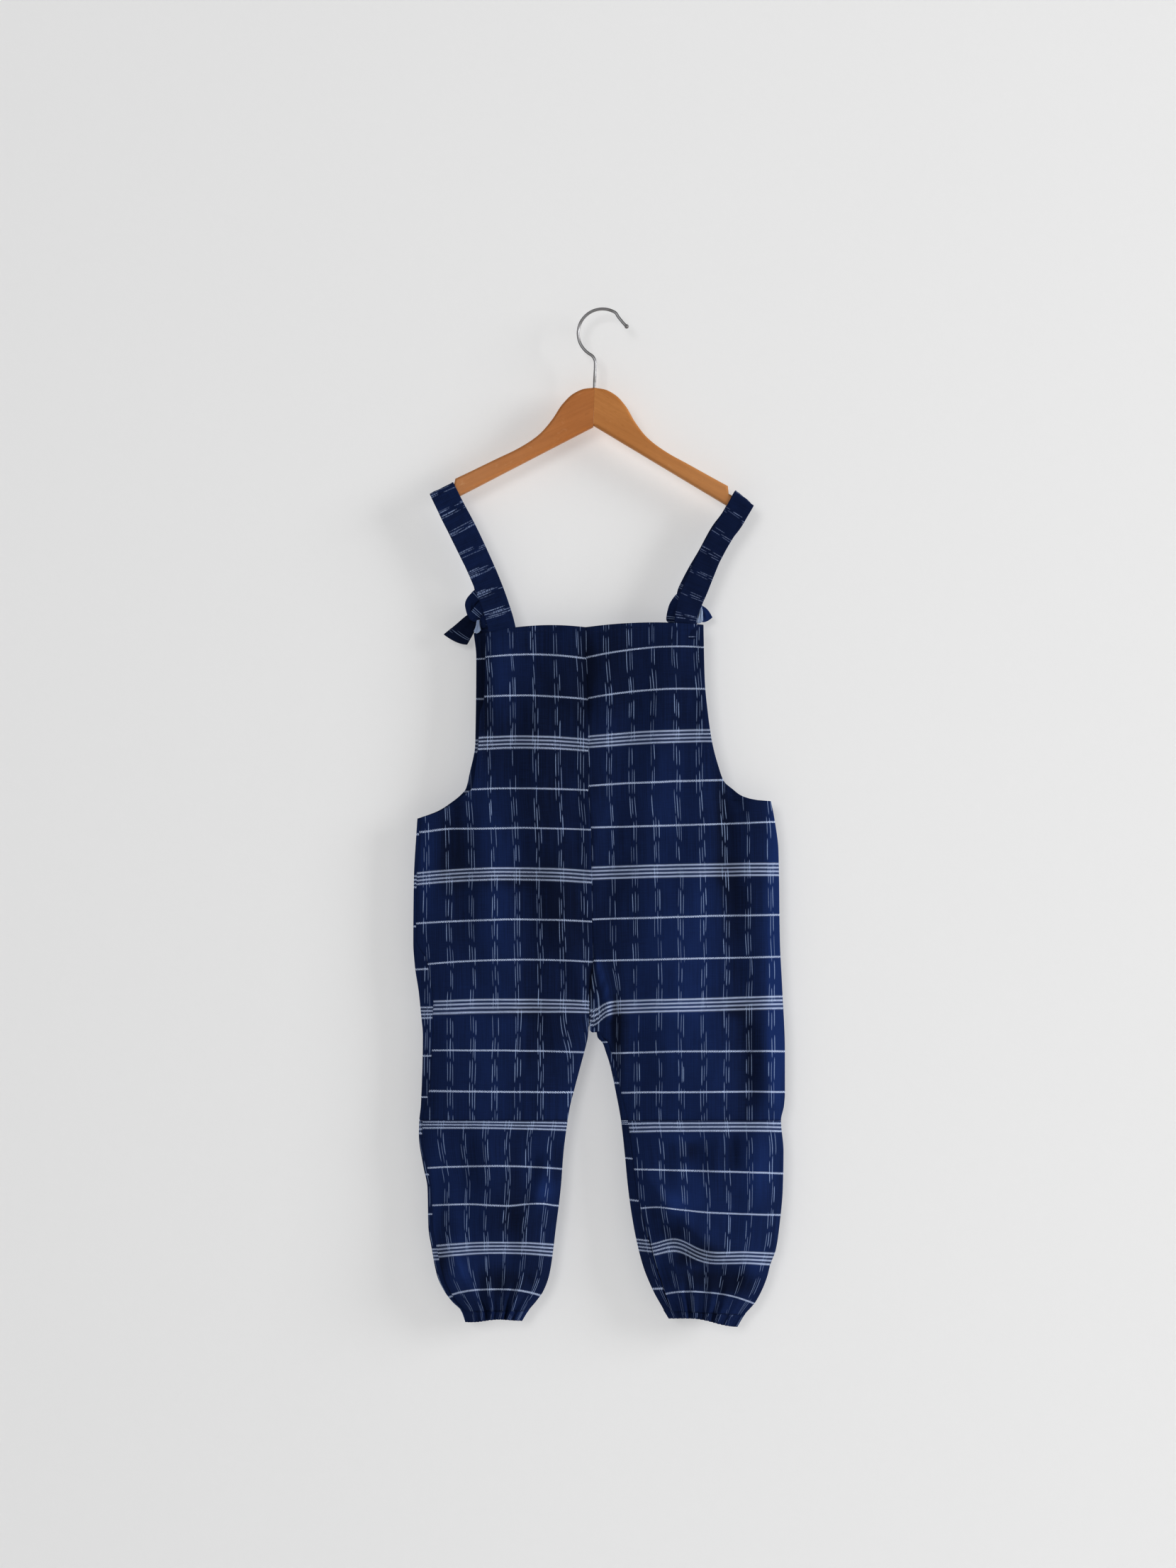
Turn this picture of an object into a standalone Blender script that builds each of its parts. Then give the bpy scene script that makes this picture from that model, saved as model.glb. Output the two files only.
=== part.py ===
"""Child's bib overalls of ikat-striped cotton, hanging by their knotted straps on a wooden hanger.

The garment's back faces -Y and its front faces +Y. X is to the right as seen from behind and Z is up. The origin is the
point inside the steel hook where a pin or a rail carries it. Tables are in millimetres: x is to the side of the origin and
drop is how far below it. A cut is a distance along the cloth, from the top edge of its panel.
"""

import math
from collections import namedtuple

import bmesh
import bpy
import numpy as np
from mathutils import Matrix, Vector

MM = 0.001

# Cloth and seams
WALL = 1.2
SEAM_GAP = 0.3
HALF_PLY = (WALL + SEAM_GAP) / 2
STRAP_PLY = 1.6
FLAT_POWER = 2.4
FLAT_EASE = 0.75
FRONT_FLATTER = 0.85
PANEL_COLUMNS = 9
LEG_COLUMNS = 12
FOLD_STEPS = 4
EDGE_STEP = 1.5
EDGE_INSET = HALF_PLY + WALL / 2

# Places on the garment
CROTCH_DROP = 712.8
CROTCH_RISE = 112.0
ARMHOLE_SIDE = {"left": -181.0, "right": 175.0}
CORNER_DROP = {"left": 509.8, "right": 492.2}
CORNER_EASE = 2.0
FRONT_BIB_SHIFT = -5.0

# Hanger and hook
WOOD_THICK = 11.0
WOOD_ROUND = 3.0
HANGER_TILT = math.radians(2.2)
HANGER_TOP = (-3.1, 77.4)
WIRE_RADIUS = 1.5
HOOK_RADIUS = 24.5
HOOK_CENTRE = (5.0, 22.4)
HOOK_START = math.radians(58)
HOOK_END = math.radians(240)
NECK_RADIUS = 10.0
SHANK_DEPTH = 22.0
BORE_PLAY = 0.3
BORE_END_PLAY = 2.0
BORE_RUN_OUT = 6.0
HOOK_POINTS = 25
NECK_POINTS = 6
LEAD_IN = [(12.6, 14.8), (8.4, 11.0)]

# Outlines: how far to the side the cloth reaches at each drop
Reach = namedtuple("Reach", "drop x")
BACK_EDGE = {
    "left": [
        Reach(323.5, -112), Reach(389, -113.6), Reach(405, -118), Reach(434, -119.6), Reach(466, -123.5),
        Reach(480, -126.4), Reach(485.6, -133.5), Reach(494, -145), Reach(502, -157.6), Reach(509.8, -180.5),
        Reach(525, -181.5), Reach(571, -184), Reach(634, -184.6), Reach(657, -183), Reach(684, -179),
        Reach(704, -177), Reach(727, -175), Reach(797, -177), Reach(811.5, -178.5), Reach(826, -179),
        Reach(858, -174.5), Reach(879, -170.4), Reach(918, -169.5), Reach(941, -166), Reach(968, -160.5),
        Reach(983, -153.4), Reach(993, -146), Reach(1003, -136), Reach(1014, -132),
    ],
    "right": [
        Reach(315.5, 106), Reach(368, 107.2), Reach(407, 110.8), Reach(434.5, 115), Reach(456.5, 120.7),
        Reach(473, 127), Reach(480, 135), Reach(486.4, 143.4), Reach(489.9, 153.4), Reach(491.6, 164),
        Reach(492.2, 173.5), Reach(510, 177), Reach(542, 181), Reach(634, 182.5), Reach(677, 184.6),
        Reach(743, 187.4), Reach(784, 187.4), Reach(797, 186.5), Reach(811.5, 183.5), Reach(843, 186),
        Reach(879, 185.3), Reach(918, 181.8), Reach(941.5, 178.2), Reach(957, 172.5), Reach(968, 169.7),
        Reach(993, 158.3), Reach(1007, 146.5), Reach(1019, 139.5),
    ],
}
FRONT_BIB_EDGE = {
    "left": [
        Reach(324, -124), Reach(348, -121.5), Reach(434, -122.5), Reach(466, -128.5), Reach(480, -132),
        Reach(486, -137), Reach(494, -147), Reach(502, -159.6), Reach(509.8, -181),
    ],
    "right": [
        Reach(reach.drop, reach.x + FRONT_BIB_SHIFT * min(1.0, (492.2 - reach.drop) / 30))
        for reach in BACK_EDGE["right"][:11]
    ],
}
CENTRE_SEAM = [
    Reach(318, -12), Reach(348, -11.5), Reach(389, -9.6), Reach(480, -9.2), Reach(522, -6.5), Reach(613, -5.5),
    Reach(653, -4.5), Reach(684, -8), Reach(712.8, -8),
]
INSEAM = {
    "left": [
        Reach(712.8, -9.5), Reach(727, -11), Reach(743, -14.9), Reach(755, -17), Reach(784.5, -25),
        Reach(811.5, -30.5), Reach(843, -34.6), Reach(879, -37), Reach(918, -42), Reach(957, -46.9),
        Reach(968, -49), Reach(983, -54.7), Reach(993, -61.8), Reach(1003, -70), Reach(1014, -76),
    ],
    "right": [
        Reach(712.8, -6.5), Reach(718, -1.4), Reach(726, 0), Reach(733, 5), Reach(743, 8.3), Reach(755, 12.1),
        Reach(784.5, 18.5), Reach(811.5, 23.4), Reach(843, 27), Reach(879, 30.5), Reach(918, 36.2),
        Reach(957, 45.4), Reach(983, 56), Reach(1003, 67), Reach(1014, 72),
    ],
}

# Rows of cloth: where the thread at each cut meets the garment's side and its centre seam or inseam
Row = namedtuple("Row", "cut side_drop inner_drop")
UPPER_ROWS = {
    "left": [
        Row(0, 323.5, 318), Row(29, 348.5, 349.5), Row(70, 388.5, 390), Row(117, 435, 436), Row(143, 459, 461),
        Row(162, 480, 480.6), Row(168, 485.6, 487), Row(177, 494.2, 496), Row(184.5, 502, 503),
        Row(191, 509, 509.6), Row(193, 511.5, 511.6), Row(204, 525, 522.6), Row(227, 548, 545),
        Row(250, 571, 568), Row(295, 615.5, 613), Row(336, 657, 653.5), Row(360, 681, 677),
        Row(383, 703.6, 699), Row(397, 718.5, 712.8), Row(403, 724.5, 718.5), Row(428, 748, 743),
        Row(468, 787.8, 785), Row(494, 811.8, 811.8),
    ],
    "right": [
        Row(0, 315.5, 318), Row(29, 338.3, 348), Row(70, 379.6, 387.5), Row(117, 426.7, 432.8),
        Row(143, 452, 458.5), Row(162, 471.4, 477), Row(167.5, 480, 482.5), Row(173, 486.4, 488),
        Row(177, 489.9, 492), Row(180.5, 491.9, 495), Row(183, 494.5, 498), Row(204, 513.3, 518.3),
        Row(227, 537, 541), Row(250, 560, 563.5), Row(295, 606.3, 611), Row(336, 648.7, 652),
        Row(360, 672, 678), Row(383, 695.3, 700), Row(396, 709, 712.8), Row(402, 716, 718.5),
        Row(428, 744.8, 743), Row(468, 784.5, 785), Row(494, 811.8, 811.8),
    ],
}
LOWER_ROWS = {
    "left": [
        Row(0, 812.2, 812.2), Row(23, 838, 833), Row(46, 863.4, 858), Row(87, 903, 898), Row(108, 925, 920),
        Row(130, 946.5, 941.5), Row(151, 968, 963), Row(172, 989, 986), Row(190, 1003, 1003),
    ],
    "right": [
        Row(0, 812.2, 812.2), Row(23, 838, 834), Row(46, 864.3, 855), Row(87, 907, 895), Row(108, 930, 917),
        Row(130, 952, 938), Row(151, 973, 961), Row(172, 994, 984), Row(190, 1007, 1003),
    ],
}
CUFF_ROWS = {
    "left": [Row(0, 1003.8, 1003.8), Row(11, 1014, 1014)],
    "right": [Row(0, 1007.9, 1003.9), Row(11, 1019, 1013)],
}

# How far each hollow swells out from its side seams, at each drop
Swell = namedtuple("Swell", "drop depth")
BODY_SWELL = [Swell(318, 7.5), Swell(400, 8), Swell(480, 9), Swell(560, 10.5), Swell(650, 11.5), Swell(713, 12)]
LEG_SWELL = [
    Swell(600, 11), Swell(811, 12), Swell(880, 15), Swell(940, 18), Swell(975, 17), Swell(1003, 10), Swell(1019, 8.5),
]

# How far the front panel rolls over the edge onto the back: down the left side and down the right leg's inseam
Roll = namedtuple("Roll", "drop width")
ROLLED = {
    ("left", "side"): [
        Roll(508, 3), Roll(512, 2), Roll(630, 2), Roll(655, 12), Roll(690, 13), Roll(713, 10), Roll(742, 8.5), Roll(784, 6.5),
        Roll(806, 2.5), Roll(858, 3), Roll(941, 4.5), Roll(960, 5), Roll(1003, 2.5),
    ],
    ("right", "inner"): [
        Roll(713, 2), Roll(733, 4.6), Roll(784, 4.5), Roll(812, 6), Roll(858, 7), Roll(899, 9), Roll(941, 12.5),
        Roll(967, 11.5), Roll(1003, 6),
    ],
}

# Largest creases of the back: troughs have a positive depth and ridges a negative one
Crease = namedtuple("Crease", "x0 drop0 x1 drop1 spread depth")
CREASES = [
    Crease(-13.5, 330, -13.5, 400, 10, 2.0),
    Crease(-100, 335, -101, 420, 12, -1.5),
    Crease(-146, 500, -148, 560, 14, 2.5),
    Crease(124, 490, 146, 640, 15, 3.5),
    Crease(146, 640, 156, 795, 15, 4.0),
    Crease(70, 560, 78, 780, 40, -2.0),
    Crease(-48, 848, -72, 905, 14, 3.0),
    Crease(48, 890, 110, 945, 14, -3.5),
]
GATHERS = 5
GATHER_START = 955.0
GATHER_DEPTH = 2.0

# Straps: the middle line from the fold over the hanger down to each end
Station = namedtuple("Station", "x drop tilt width")
BACK_STRAP = {
    "left": [
        Station(-158.0, 179.0, 27, 26), Station(-153.0, 188, 26, 27), Station(-147, 200, 25, 28),
        Station(-135.3, 221, 24, 28), Station(-122.5, 246.5, 23, 28), Station(-110, 274, 22, 28),
        Station(-101.5, 295.7, 20, 28), Station(-95.5, 314.5, 16, 28), Station(-93.5, 326, 12, 28),
        Station(-93, 334, 12, 28),
    ],
    "right": [
        Station(147.5, 189.5, -36, 24.5), Station(143, 197, -34, 25), Station(137, 206, -31, 25),
        Station(126.4, 221, -30, 25), Station(112, 246.5, -28, 25), Station(104.5, 263.5, -26, 25),
        Station(98.7, 280, -24, 25), Station(93.4, 297.5, -21, 26), Station(89.5, 313, -14, 27),
        Station(88, 322, -8, 27), Station(87.5, 329, -6, 27),
    ],
}
FRONT_STRAP = {
    "left": [
        Station(-158.4, 181, 27, 26), Station(-154, 190, 26, 27), Station(-148.5, 200, 25, 28),
        Station(-137, 221, 24, 28), Station(-126, 246.5, 23, 26), Station(-119.5, 270, 20, 20),
        Station(-118.5, 285, 12, 14),
    ],
    "right": [
        Station(146.5, 191, -36, 24.5), Station(142, 198, -34, 25), Station(135, 208, -31, 25),
        Station(122, 229, -30, 25), Station(106, 258, -30, 25), Station(96, 277, -26, 20), Station(91, 290, -20, 14),
    ],
}
HANG_DEPTH = WOOD_THICK / 2 + SEAM_GAP + STRAP_PLY / 2
STRAP_RISE = 5.0
CROWN_POWER = 0.7
CROWN_TURNS = np.radians(np.linspace(25, 155, 6))
BIB_TOP = 316.0
TUCK_START = 45.0
TUCK_GAP = 0.6
KNOT_DEPTH = 9.0

# Knots: the core, the turn of cloth round it, the free end and the short tie sewn to the front bib
Knot = namedtuple("Knot", "core radii wrap_radius wrap_from wrap_to")
WRAP_THICK = 3.4
WRAP_TALLER = 1.0
WRAP_TAPER = 0.25
WRAP_POINTS = 9
TAIL_STAND_OFF = 1.0
TAIL_LEAN = 0.15
TIE_RISE = 0.9
KNOTS = {
    "left": Knot((-118.0, 9.5, 300.5), (6.6, 5.6, 7.0), 10.4, 60, 220),
    "right": Knot((92.5, 9.5, 302.5), (6.6, 5.6, 7.6), 10.2, 125, 215),
}
TAILS = {
    "left": [
        Station(-127.4, 309.6, -38, 12), Station(-132.5, 315.5, -42, 17), Station(-138.5, 322.5, -44, 21),
        Station(-143.0, 329.0, -46, 26),
    ],
    "right": [Station(102.5, 298.0, 35, 9), Station(106.0, 303.5, 32, 11), Station(108.5, 310.0, 18, 13)],
}
TIES = {
    "left": [Station(-117.0, 309.4, 6, 11), Station(-114.5, 316.0, 4, 13), Station(-112.0, 334.0, 0, 14)],
    "right": [Station(93.5, 310.8, -6, 11), Station(93.0, 318.0, -4, 13), Station(92.0, 331.0, 0, 14)],
}

# Hanger arm, from its top centre: the upper edge, and the straight lower edge from the apex to the tip
ARM_TOP = [(0, 0), (10, 1.4), (20.2, 6.6), (31.5, 18.6), (40, 32.6), (53, 48.4), (72.5, 62.4), (95, 74), (120, 86.5)]
ARM_NOTCH = {"left": (137.0, 4.5), "right": (136.6, 3.0)}
ARM_SLOPE = 0.51
ARM_APEX = 39.1
ARM_TIP = 159.0
ARM_TIP_BOTTOM = 126.5
STEP_RUN = 1.0
TIP_CORNER = (2.5, 2.0)
TIP_HEEL = (3.0, 3.5)

CLOTH = (0.016, 0.026, 0.075)
PANEL_COLOURS = {"left": CLOTH, "right": (0.024, 0.042, 0.115)}
CLOTH_ROUGHNESS = 0.85
WOOD = (0.50, 0.20, 0.075)
WOOD_DARK = (0.44, 0.165, 0.06)
STEEL = (0.42, 0.42, 0.43)


def clear_scene():
    for obj in list(bpy.data.objects):
        bpy.data.objects.remove(obj, do_unlink=True)


def new_collection(name):
    collection = bpy.data.collections.new(name)
    bpy.context.scene.collection.children.link(collection)
    return collection


def material(name, colour, roughness, metallic=0.0):
    mat = bpy.data.materials.get(name) or bpy.data.materials.new(name)
    mat.use_nodes = True
    shader = mat.node_tree.nodes["Principled BSDF"]
    shader.inputs["Base Color"].default_value = (*colour, 1.0)
    shader.inputs["Roughness"].default_value = roughness
    shader.inputs["Metallic"].default_value = metallic
    return mat


def add_object(name, data, collection, mat=None):
    obj = bpy.data.objects.new(name, data)
    collection.objects.link(obj)
    if mat:
        obj.data.materials.append(mat)
    return obj


def at(x, y, drop):
    """A point in metres from its side reach, depth and drop in millimetres."""
    return Vector((x, y, -drop)) * MM


def lookup(table, drop):
    """The second column of a table at this drop, on straight lines between its rows."""
    rows = np.array(table, float)
    return np.interp(drop, rows[:, 0], rows[:, 1])


def ease(value):
    """A smooth step from 0 to 1."""
    value = np.clip(value, 0.0, 1.0)
    return value * value * (3.0 - 2.0 * value)


def flat_lens(place):
    """Height of a flattened tube at a place from -1 to 1 across it, from 0 at its edges to 1 in the middle."""
    return (1.0 - np.clip(np.abs(place), 0.0, 1.0) ** FLAT_POWER) ** FLAT_EASE


def crease_depth(x, drop):
    """How far the creases of the back press in at this place: each fades with distance from its own line."""
    total = np.zeros(np.shape(x))
    for crease in CREASES:
        run_x, run_drop = crease.x1 - crease.x0, crease.drop1 - crease.drop0
        along = ((x - crease.x0) * run_x + (drop - crease.drop0) * run_drop) / (run_x**2 + run_drop**2)
        nearest = np.clip(along, 0.0, 1.0)
        away = np.hypot(x - crease.x0 - nearest * run_x, drop - crease.drop0 - nearest * run_drop)
        total += crease.depth * np.exp(-((away / crease.spread) ** 2))
    return total


def hollow(side, layer, x, drop):
    """How far this layer of cloth stands off the side seams' plane, at a place on this half of the garment.

    Above the crotch it follows one flattened tube round the body, and below it one round each leg. In between they blend,
    which draws the centre seam in towards the crotch. Near the ankle the gathers ripple it.
    """
    leg = ease((drop - CROTCH_DROP + CROTCH_RISE) / CROTCH_RISE)
    outer = np.where(drop < CORNER_DROP[side], ARMHOLE_SIDE[side], lookup(BACK_EDGE[side], drop))
    left = np.where(drop < CORNER_DROP["left"], ARMHOLE_SIDE["left"], lookup(BACK_EDGE["left"], drop))
    right = np.where(drop < CORNER_DROP["right"], ARMHOLE_SIDE["right"], lookup(BACK_EDGE["right"], drop))
    inner = np.where(drop < CROTCH_DROP, lookup(CENTRE_SEAM, drop), lookup(INSEAM[side], drop))
    body_place = (2 * x - left - right) / (right - left)
    leg_place = (2 * x - outer - inner) / (inner - outer)
    body = lookup(BODY_SWELL, drop) * flat_lens(body_place)
    tube = lookup(LEG_SWELL, drop) * flat_lens(leg_place)
    depth = body * (1 - leg) + tube * leg
    across = np.clip((x - outer) / (inner - outer), 0.0, 1.0)
    gather = GATHER_DEPTH * ease((drop - GATHER_START) / (1003 - GATHER_START))
    depth = depth + gather * np.sin(2 * math.pi * GATHERS * across) * flat_lens(leg_place)
    if layer == "front":
        return depth * FRONT_FLATTER
    fade = flat_lens(body_place) * (1 - leg) + flat_lens(leg_place) * leg
    return np.maximum(depth - crease_depth(x, drop) * fade, 0)


def spaced(count):
    """Places from 0 to 1 that crowd towards both ends."""
    return (1 - np.cos(np.linspace(0, math.pi, count))) / 2


def row_ends(side, layer, row):
    """Where the cloth of one row begins and ends: at the garment's side, and at its centre seam or inseam."""
    free_edge = row.side_drop < CORNER_DROP[side]
    edge = FRONT_BIB_EDGE[side] if free_edge and layer == "front" else BACK_EDGE[side]
    inner = INSEAM[side] if row.inner_drop > CROTCH_DROP else CENTRE_SEAM
    return lookup(edge, row.side_drop), lookup(inner, row.inner_drop)


def seam_inset(row):
    """How far the cloth stops short of the centre seam or inseam: more near the crotch, where both halves turn in."""
    leg = ease((row.inner_drop - CROTCH_DROP + CROTCH_RISE) / CROTCH_RISE)
    return SEAM_GAP / 2 + 0.5 * leg


def on_layer(side, layer, row, x):
    """Points of one row of a layer at these places to the side."""
    x_side, x_inner = row_ends(side, layer, row)
    across = (x - x_side) / (x_inner - x_side)
    drop = row.side_drop + (row.inner_drop - row.side_drop) * across
    facing = -1.0 if layer == "back" else 1.0
    return np.stack([x, facing * (HALF_PLY + hollow(side, layer, x, drop)), drop], axis=1)


def strip(side, layer, row, starts, ends, columns):
    """Points of one row across a layer, between two distances in from its two ends."""
    x_side, x_inner = row_ends(side, layer, row)
    towards_seam = math.copysign(1.0, x_inner - x_side)
    places = spaced(columns)
    x = (x_side + towards_seam * starts) * (1 - places) + (x_inner - towards_seam * ends) * places
    return on_layer(side, layer, row, x)


def rolled_edge(side, end, row, width):
    """Points that carry the front panel round the edge at one end of a row and a width onto the back, from the back."""
    x_side, x_inner = row_ends(side, "front", row)
    towards_seam = math.copysign(1.0, x_inner - x_side)
    inward = towards_seam if end == "side" else -towards_seam
    x_edge = (x_side if end == "side" else x_inner) + inward * EDGE_INSET
    drop = row.side_drop if end == "side" else row.inner_drop
    back = on_layer(side, "back", row, x_edge + inward * np.array([width, width / 2]))
    turns = np.linspace(0, math.pi, FOLD_STEPS + 1)[:-1]
    turned = [
        (x_edge - inward * HALF_PLY * math.sin(turn), -HALF_PLY * math.cos(turn), drop) for turn in turns
    ]
    return np.vstack([back, turned])


def flat_edge(side, end, row, inset):
    """The same number of points as a rolled edge has, close together along the edge of a row where nothing rolls."""
    x_side, x_inner = row_ends(side, "front", row)
    towards_seam = math.copysign(1.0, x_inner - x_side)
    steps = inset + EDGE_STEP * np.arange(2 + FOLD_STEPS)
    return on_layer(side, "front", row, x_side + towards_seam * steps if end == "side" else x_inner - towards_seam * steps)


def front_row(side, row, columns):
    """One row of a front panel, with the stretch that rolls onto the back where that edge is rolled."""
    flat_width = EDGE_STEP * (2 + FOLD_STEPS)
    starts, ends = 0.0, seam_inset(row)
    pieces = []
    if (side, "side") in ROLLED:
        if row.side_drop >= CORNER_DROP[side]:
            pieces.append(rolled_edge(side, "side", row, lookup(ROLLED[side, "side"], row.side_drop)))
            starts = EDGE_INSET
        else:
            pieces.append(flat_edge(side, "side", row, starts))
            starts = flat_width
    after = []
    if (side, "inner") in ROLLED:
        if row.inner_drop > CROTCH_DROP + 1:
            after.append(rolled_edge(side, "inner", row, lookup(ROLLED[side, "inner"], row.inner_drop))[::-1])
            ends = EDGE_INSET
        else:
            after.append(flat_edge(side, "inner", row, ends)[::-1])
            ends += flat_width
    return np.vstack([*pieces, strip(side, "front", row, starts, ends, columns), *after])


def back_row(side, row, columns):
    """One row of a back panel, which stops short of each edge that the front panel rolls over."""
    starts, ends = 0.0, seam_inset(row)
    rolled = EDGE_INSET + SEAM_GAP
    if (side, "side") in ROLLED and row.side_drop >= CORNER_DROP[side] - CORNER_EASE:
        starts = rolled + lookup(ROLLED[side, "side"], row.side_drop)
    if (side, "inner") in ROLLED and row.inner_drop > CROTCH_DROP + 1:
        ends = rolled + lookup(ROLLED[side, "inner"], row.inner_drop)
    return strip(side, "back", row, starts, ends, columns)


def cloth_wall(name, rows, thickness, collection, mat, closed=False):
    """A wall of this thickness through rows of points, as a sheet or, closed round, as a band."""
    count, columns = len(rows), len(rows[0])
    verts = [at(*point) for row in rows for point in row]
    spans = [(c, (c + 1) % columns) for c in range(columns if closed else columns - 1)]
    faces = [
        (r * columns + a, r * columns + b, (r + 1) * columns + b, (r + 1) * columns + a)
        for r in range(count - 1)
        for a, b in spans
    ]
    mesh = bpy.data.meshes.new(name)
    mesh.from_pydata(verts, [], faces)
    obj = add_object(name, mesh, collection, mat)
    wall = obj.modifiers.new("wall", "SOLIDIFY")
    wall.thickness = thickness * MM
    wall.offset = 0.0
    obj.data.shade_smooth()
    return obj


def build_panels(collection):
    """The eight cloth panels: a back and a front on each side, from the bib to the knee and from the knee to the cuff."""
    for side, colour in PANEL_COLOURS.items():
        mat = material(f"indigo_cotton_{side}", colour, CLOTH_ROUGHNESS)
        upper, lower = UPPER_ROWS[side], LOWER_ROWS[side]
        backs = [back_row(side, row, PANEL_COLUMNS) for row in upper]
        fronts = [front_row(side, row, PANEL_COLUMNS) for row in upper]
        cloth_wall(f"back_{side}", backs, WALL, collection, mat)
        cloth_wall(f"front_{side}", fronts, WALL, collection, mat)
        backs = [back_row(side, row, LEG_COLUMNS) for row in lower]
        fronts = [front_row(side, row, LEG_COLUMNS) for row in lower]
        cloth_wall(f"lower_back_{side}", backs, WALL, collection, mat)
        cloth_wall(f"lower_front_{side}", fronts, WALL, collection, mat)


def build_cuffs(collection):
    """The gathered casing round each ankle, one piece of cloth turned up over its elastic."""
    mat = material("indigo_cotton_cuffs", CLOTH, CLOTH_ROUGHNESS)
    for side, rows in CUFF_ROWS.items():
        rings = []
        for row in rows:
            back = strip(side, "back", row, WALL, WALL, 2 * LEG_COLUMNS - 3)
            front = strip(side, "front", row, WALL, WALL, 2 * LEG_COLUMNS - 3)[::-1]
            rings.append(np.vstack([back, front]))
        cloth_wall(f"cuff_{side}", rings, WALL, collection, mat, closed=True)


def across_strap(station, depth):
    """The two edges and the middle of a strap where it lies at this station."""
    half = station.width / 2
    turn = math.radians(station.tilt)
    reach_x, reach_drop = half * math.cos(turn), -half * math.sin(turn)
    return [
        (station.x + side * reach_x, depth, station.drop + side * reach_drop) for side in (-1.0, 0.0, 1.0)
    ]


def bib_depth(side, layer, x, drop):
    """Where the middle of a bib's wall lies at this place."""
    stand_off = HALF_PLY + float(hollow(side, layer, np.array([x], float), np.array([drop], float))[0])
    return -stand_off if layer == "back" else stand_off


def tucked_in(side, points):
    """The same points of a strap, kept inside the back bib's wall from just above its top edge downward."""
    held = []
    for x, y, drop in points:
        share = float(ease((drop - BIB_TOP + TUCK_START) / TUCK_START))
        inside = bib_depth(side, "back", x, drop) + WALL / 2 + STRAP_PLY / 2 + TUCK_GAP
        held.append((x, y * (1 - share) + inside * share, drop))
    return held


def over_the_arm(behind, before):
    """Rows of a strap over the top of its hanger arm, between its two highest stations."""
    rows = []
    for turn in CROWN_TURNS:
        share = (1 - math.cos(turn)) / 2
        crown = Station(
            behind.x * (1 - share) + before.x * share,
            behind.drop * (1 - share) + before.drop * share - STRAP_RISE * math.sin(turn) ** CROWN_POWER,
            behind.tilt * (1 - share) + before.tilt * share,
            behind.width,
        )
        rows.append(across_strap(crown, -HANG_DEPTH * math.cos(turn)))
    return rows


def build_straps(collection):
    """Each strap, from inside the back bib up over its hanger arm and down to its knot at the front bib's corner."""
    mat = material("indigo_cotton_straps", CLOTH, CLOTH_ROUGHNESS)
    for side in ("left", "right"):
        back, front = BACK_STRAP[side], FRONT_STRAP[side]
        rows = [tucked_in(side, across_strap(station, -HANG_DEPTH)) for station in reversed(back)]
        rows += over_the_arm(back[0], front[0])
        for station in front:
            share = ease((station.drop - front[0].drop) / (front[-1].drop - front[0].drop))
            rows.append(across_strap(station, HANG_DEPTH * (1 - share) + KNOT_DEPTH * share))
        cloth_wall(f"strap_{side}", rows, STRAP_PLY, collection, mat)


def ellipsoid(name, centre, radii, collection, mat):
    mesh = bpy.data.meshes.new(name)
    bm = bmesh.new()
    bmesh.ops.create_uvsphere(bm, u_segments=14, v_segments=9, radius=MM)
    bmesh.ops.scale(bm, vec=radii, verts=bm.verts)
    bm.to_mesh(mesh)
    bm.free()
    obj = add_object(name, mesh, collection, mat)
    obj.location = at(*centre)
    obj.data.shade_smooth()
    return obj


def tube_object(name, points, radius, collection, mat, resolution=2):
    """A round wire or roll along a line of points."""
    curve = bpy.data.curves.new(name, "CURVE")
    curve.dimensions = "3D"
    curve.bevel_depth = radius * MM
    curve.bevel_resolution = resolution
    curve.use_fill_caps = True
    spline = curve.splines.new("POLY")
    spline.points.add(len(points) - 1)
    for target, point in zip(spline.points, points):
        target.co = (*at(*point[:3]), 1.0)
        target.radius = point[3] if len(point) > 3 else 1.0
    return add_object(name, curve, collection, mat)


def knot_wrap(knot):
    """The turn of cloth round a knot's core, thickest halfway along."""
    x, y, drop = knot.core
    line = []
    for share in np.linspace(0, 1, WRAP_POINTS):
        turn = math.radians(knot.wrap_from + (knot.wrap_to - knot.wrap_from) * share)
        swell = 1 - WRAP_TAPER + WRAP_TAPER * math.sin(math.pi * share)
        reach = knot.wrap_radius + WRAP_TALLER
        line.append((x + knot.wrap_radius * math.cos(turn), y, drop - reach * math.sin(turn), swell))
    return line


def build_knots(collection):
    """The knot that joins each strap to the short tie at the front bib's corner."""
    mat = material("indigo_cotton_knots", CLOTH, CLOTH_ROUGHNESS)
    for side, knot in KNOTS.items():
        ellipsoid(f"knot_{side}_core", knot.core, knot.radii, collection, mat)
        tube_object(f"knot_{side}_wrap", knot_wrap(knot), WRAP_THICK, collection, mat)
        depth = knot.core[1]
        tail = [
            across_strap(station, depth - TAIL_STAND_OFF - TAIL_LEAN * k) for k, station in enumerate(TAILS[side])
        ]
        cloth_wall(f"knot_{side}_tail", tail, WALL, collection, mat)
        root, *sewn = TIES[side]
        outside = bib_depth(side, "front", sewn[-1].x, sewn[-1].drop) + WALL + TUCK_GAP
        tie = [across_strap(root, outside + (depth - outside) * TIE_RISE)]
        tie += [across_strap(station, outside) for station in sewn]
        cloth_wall(f"knot_{side}_tie", tie, WALL, collection, mat)


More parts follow.
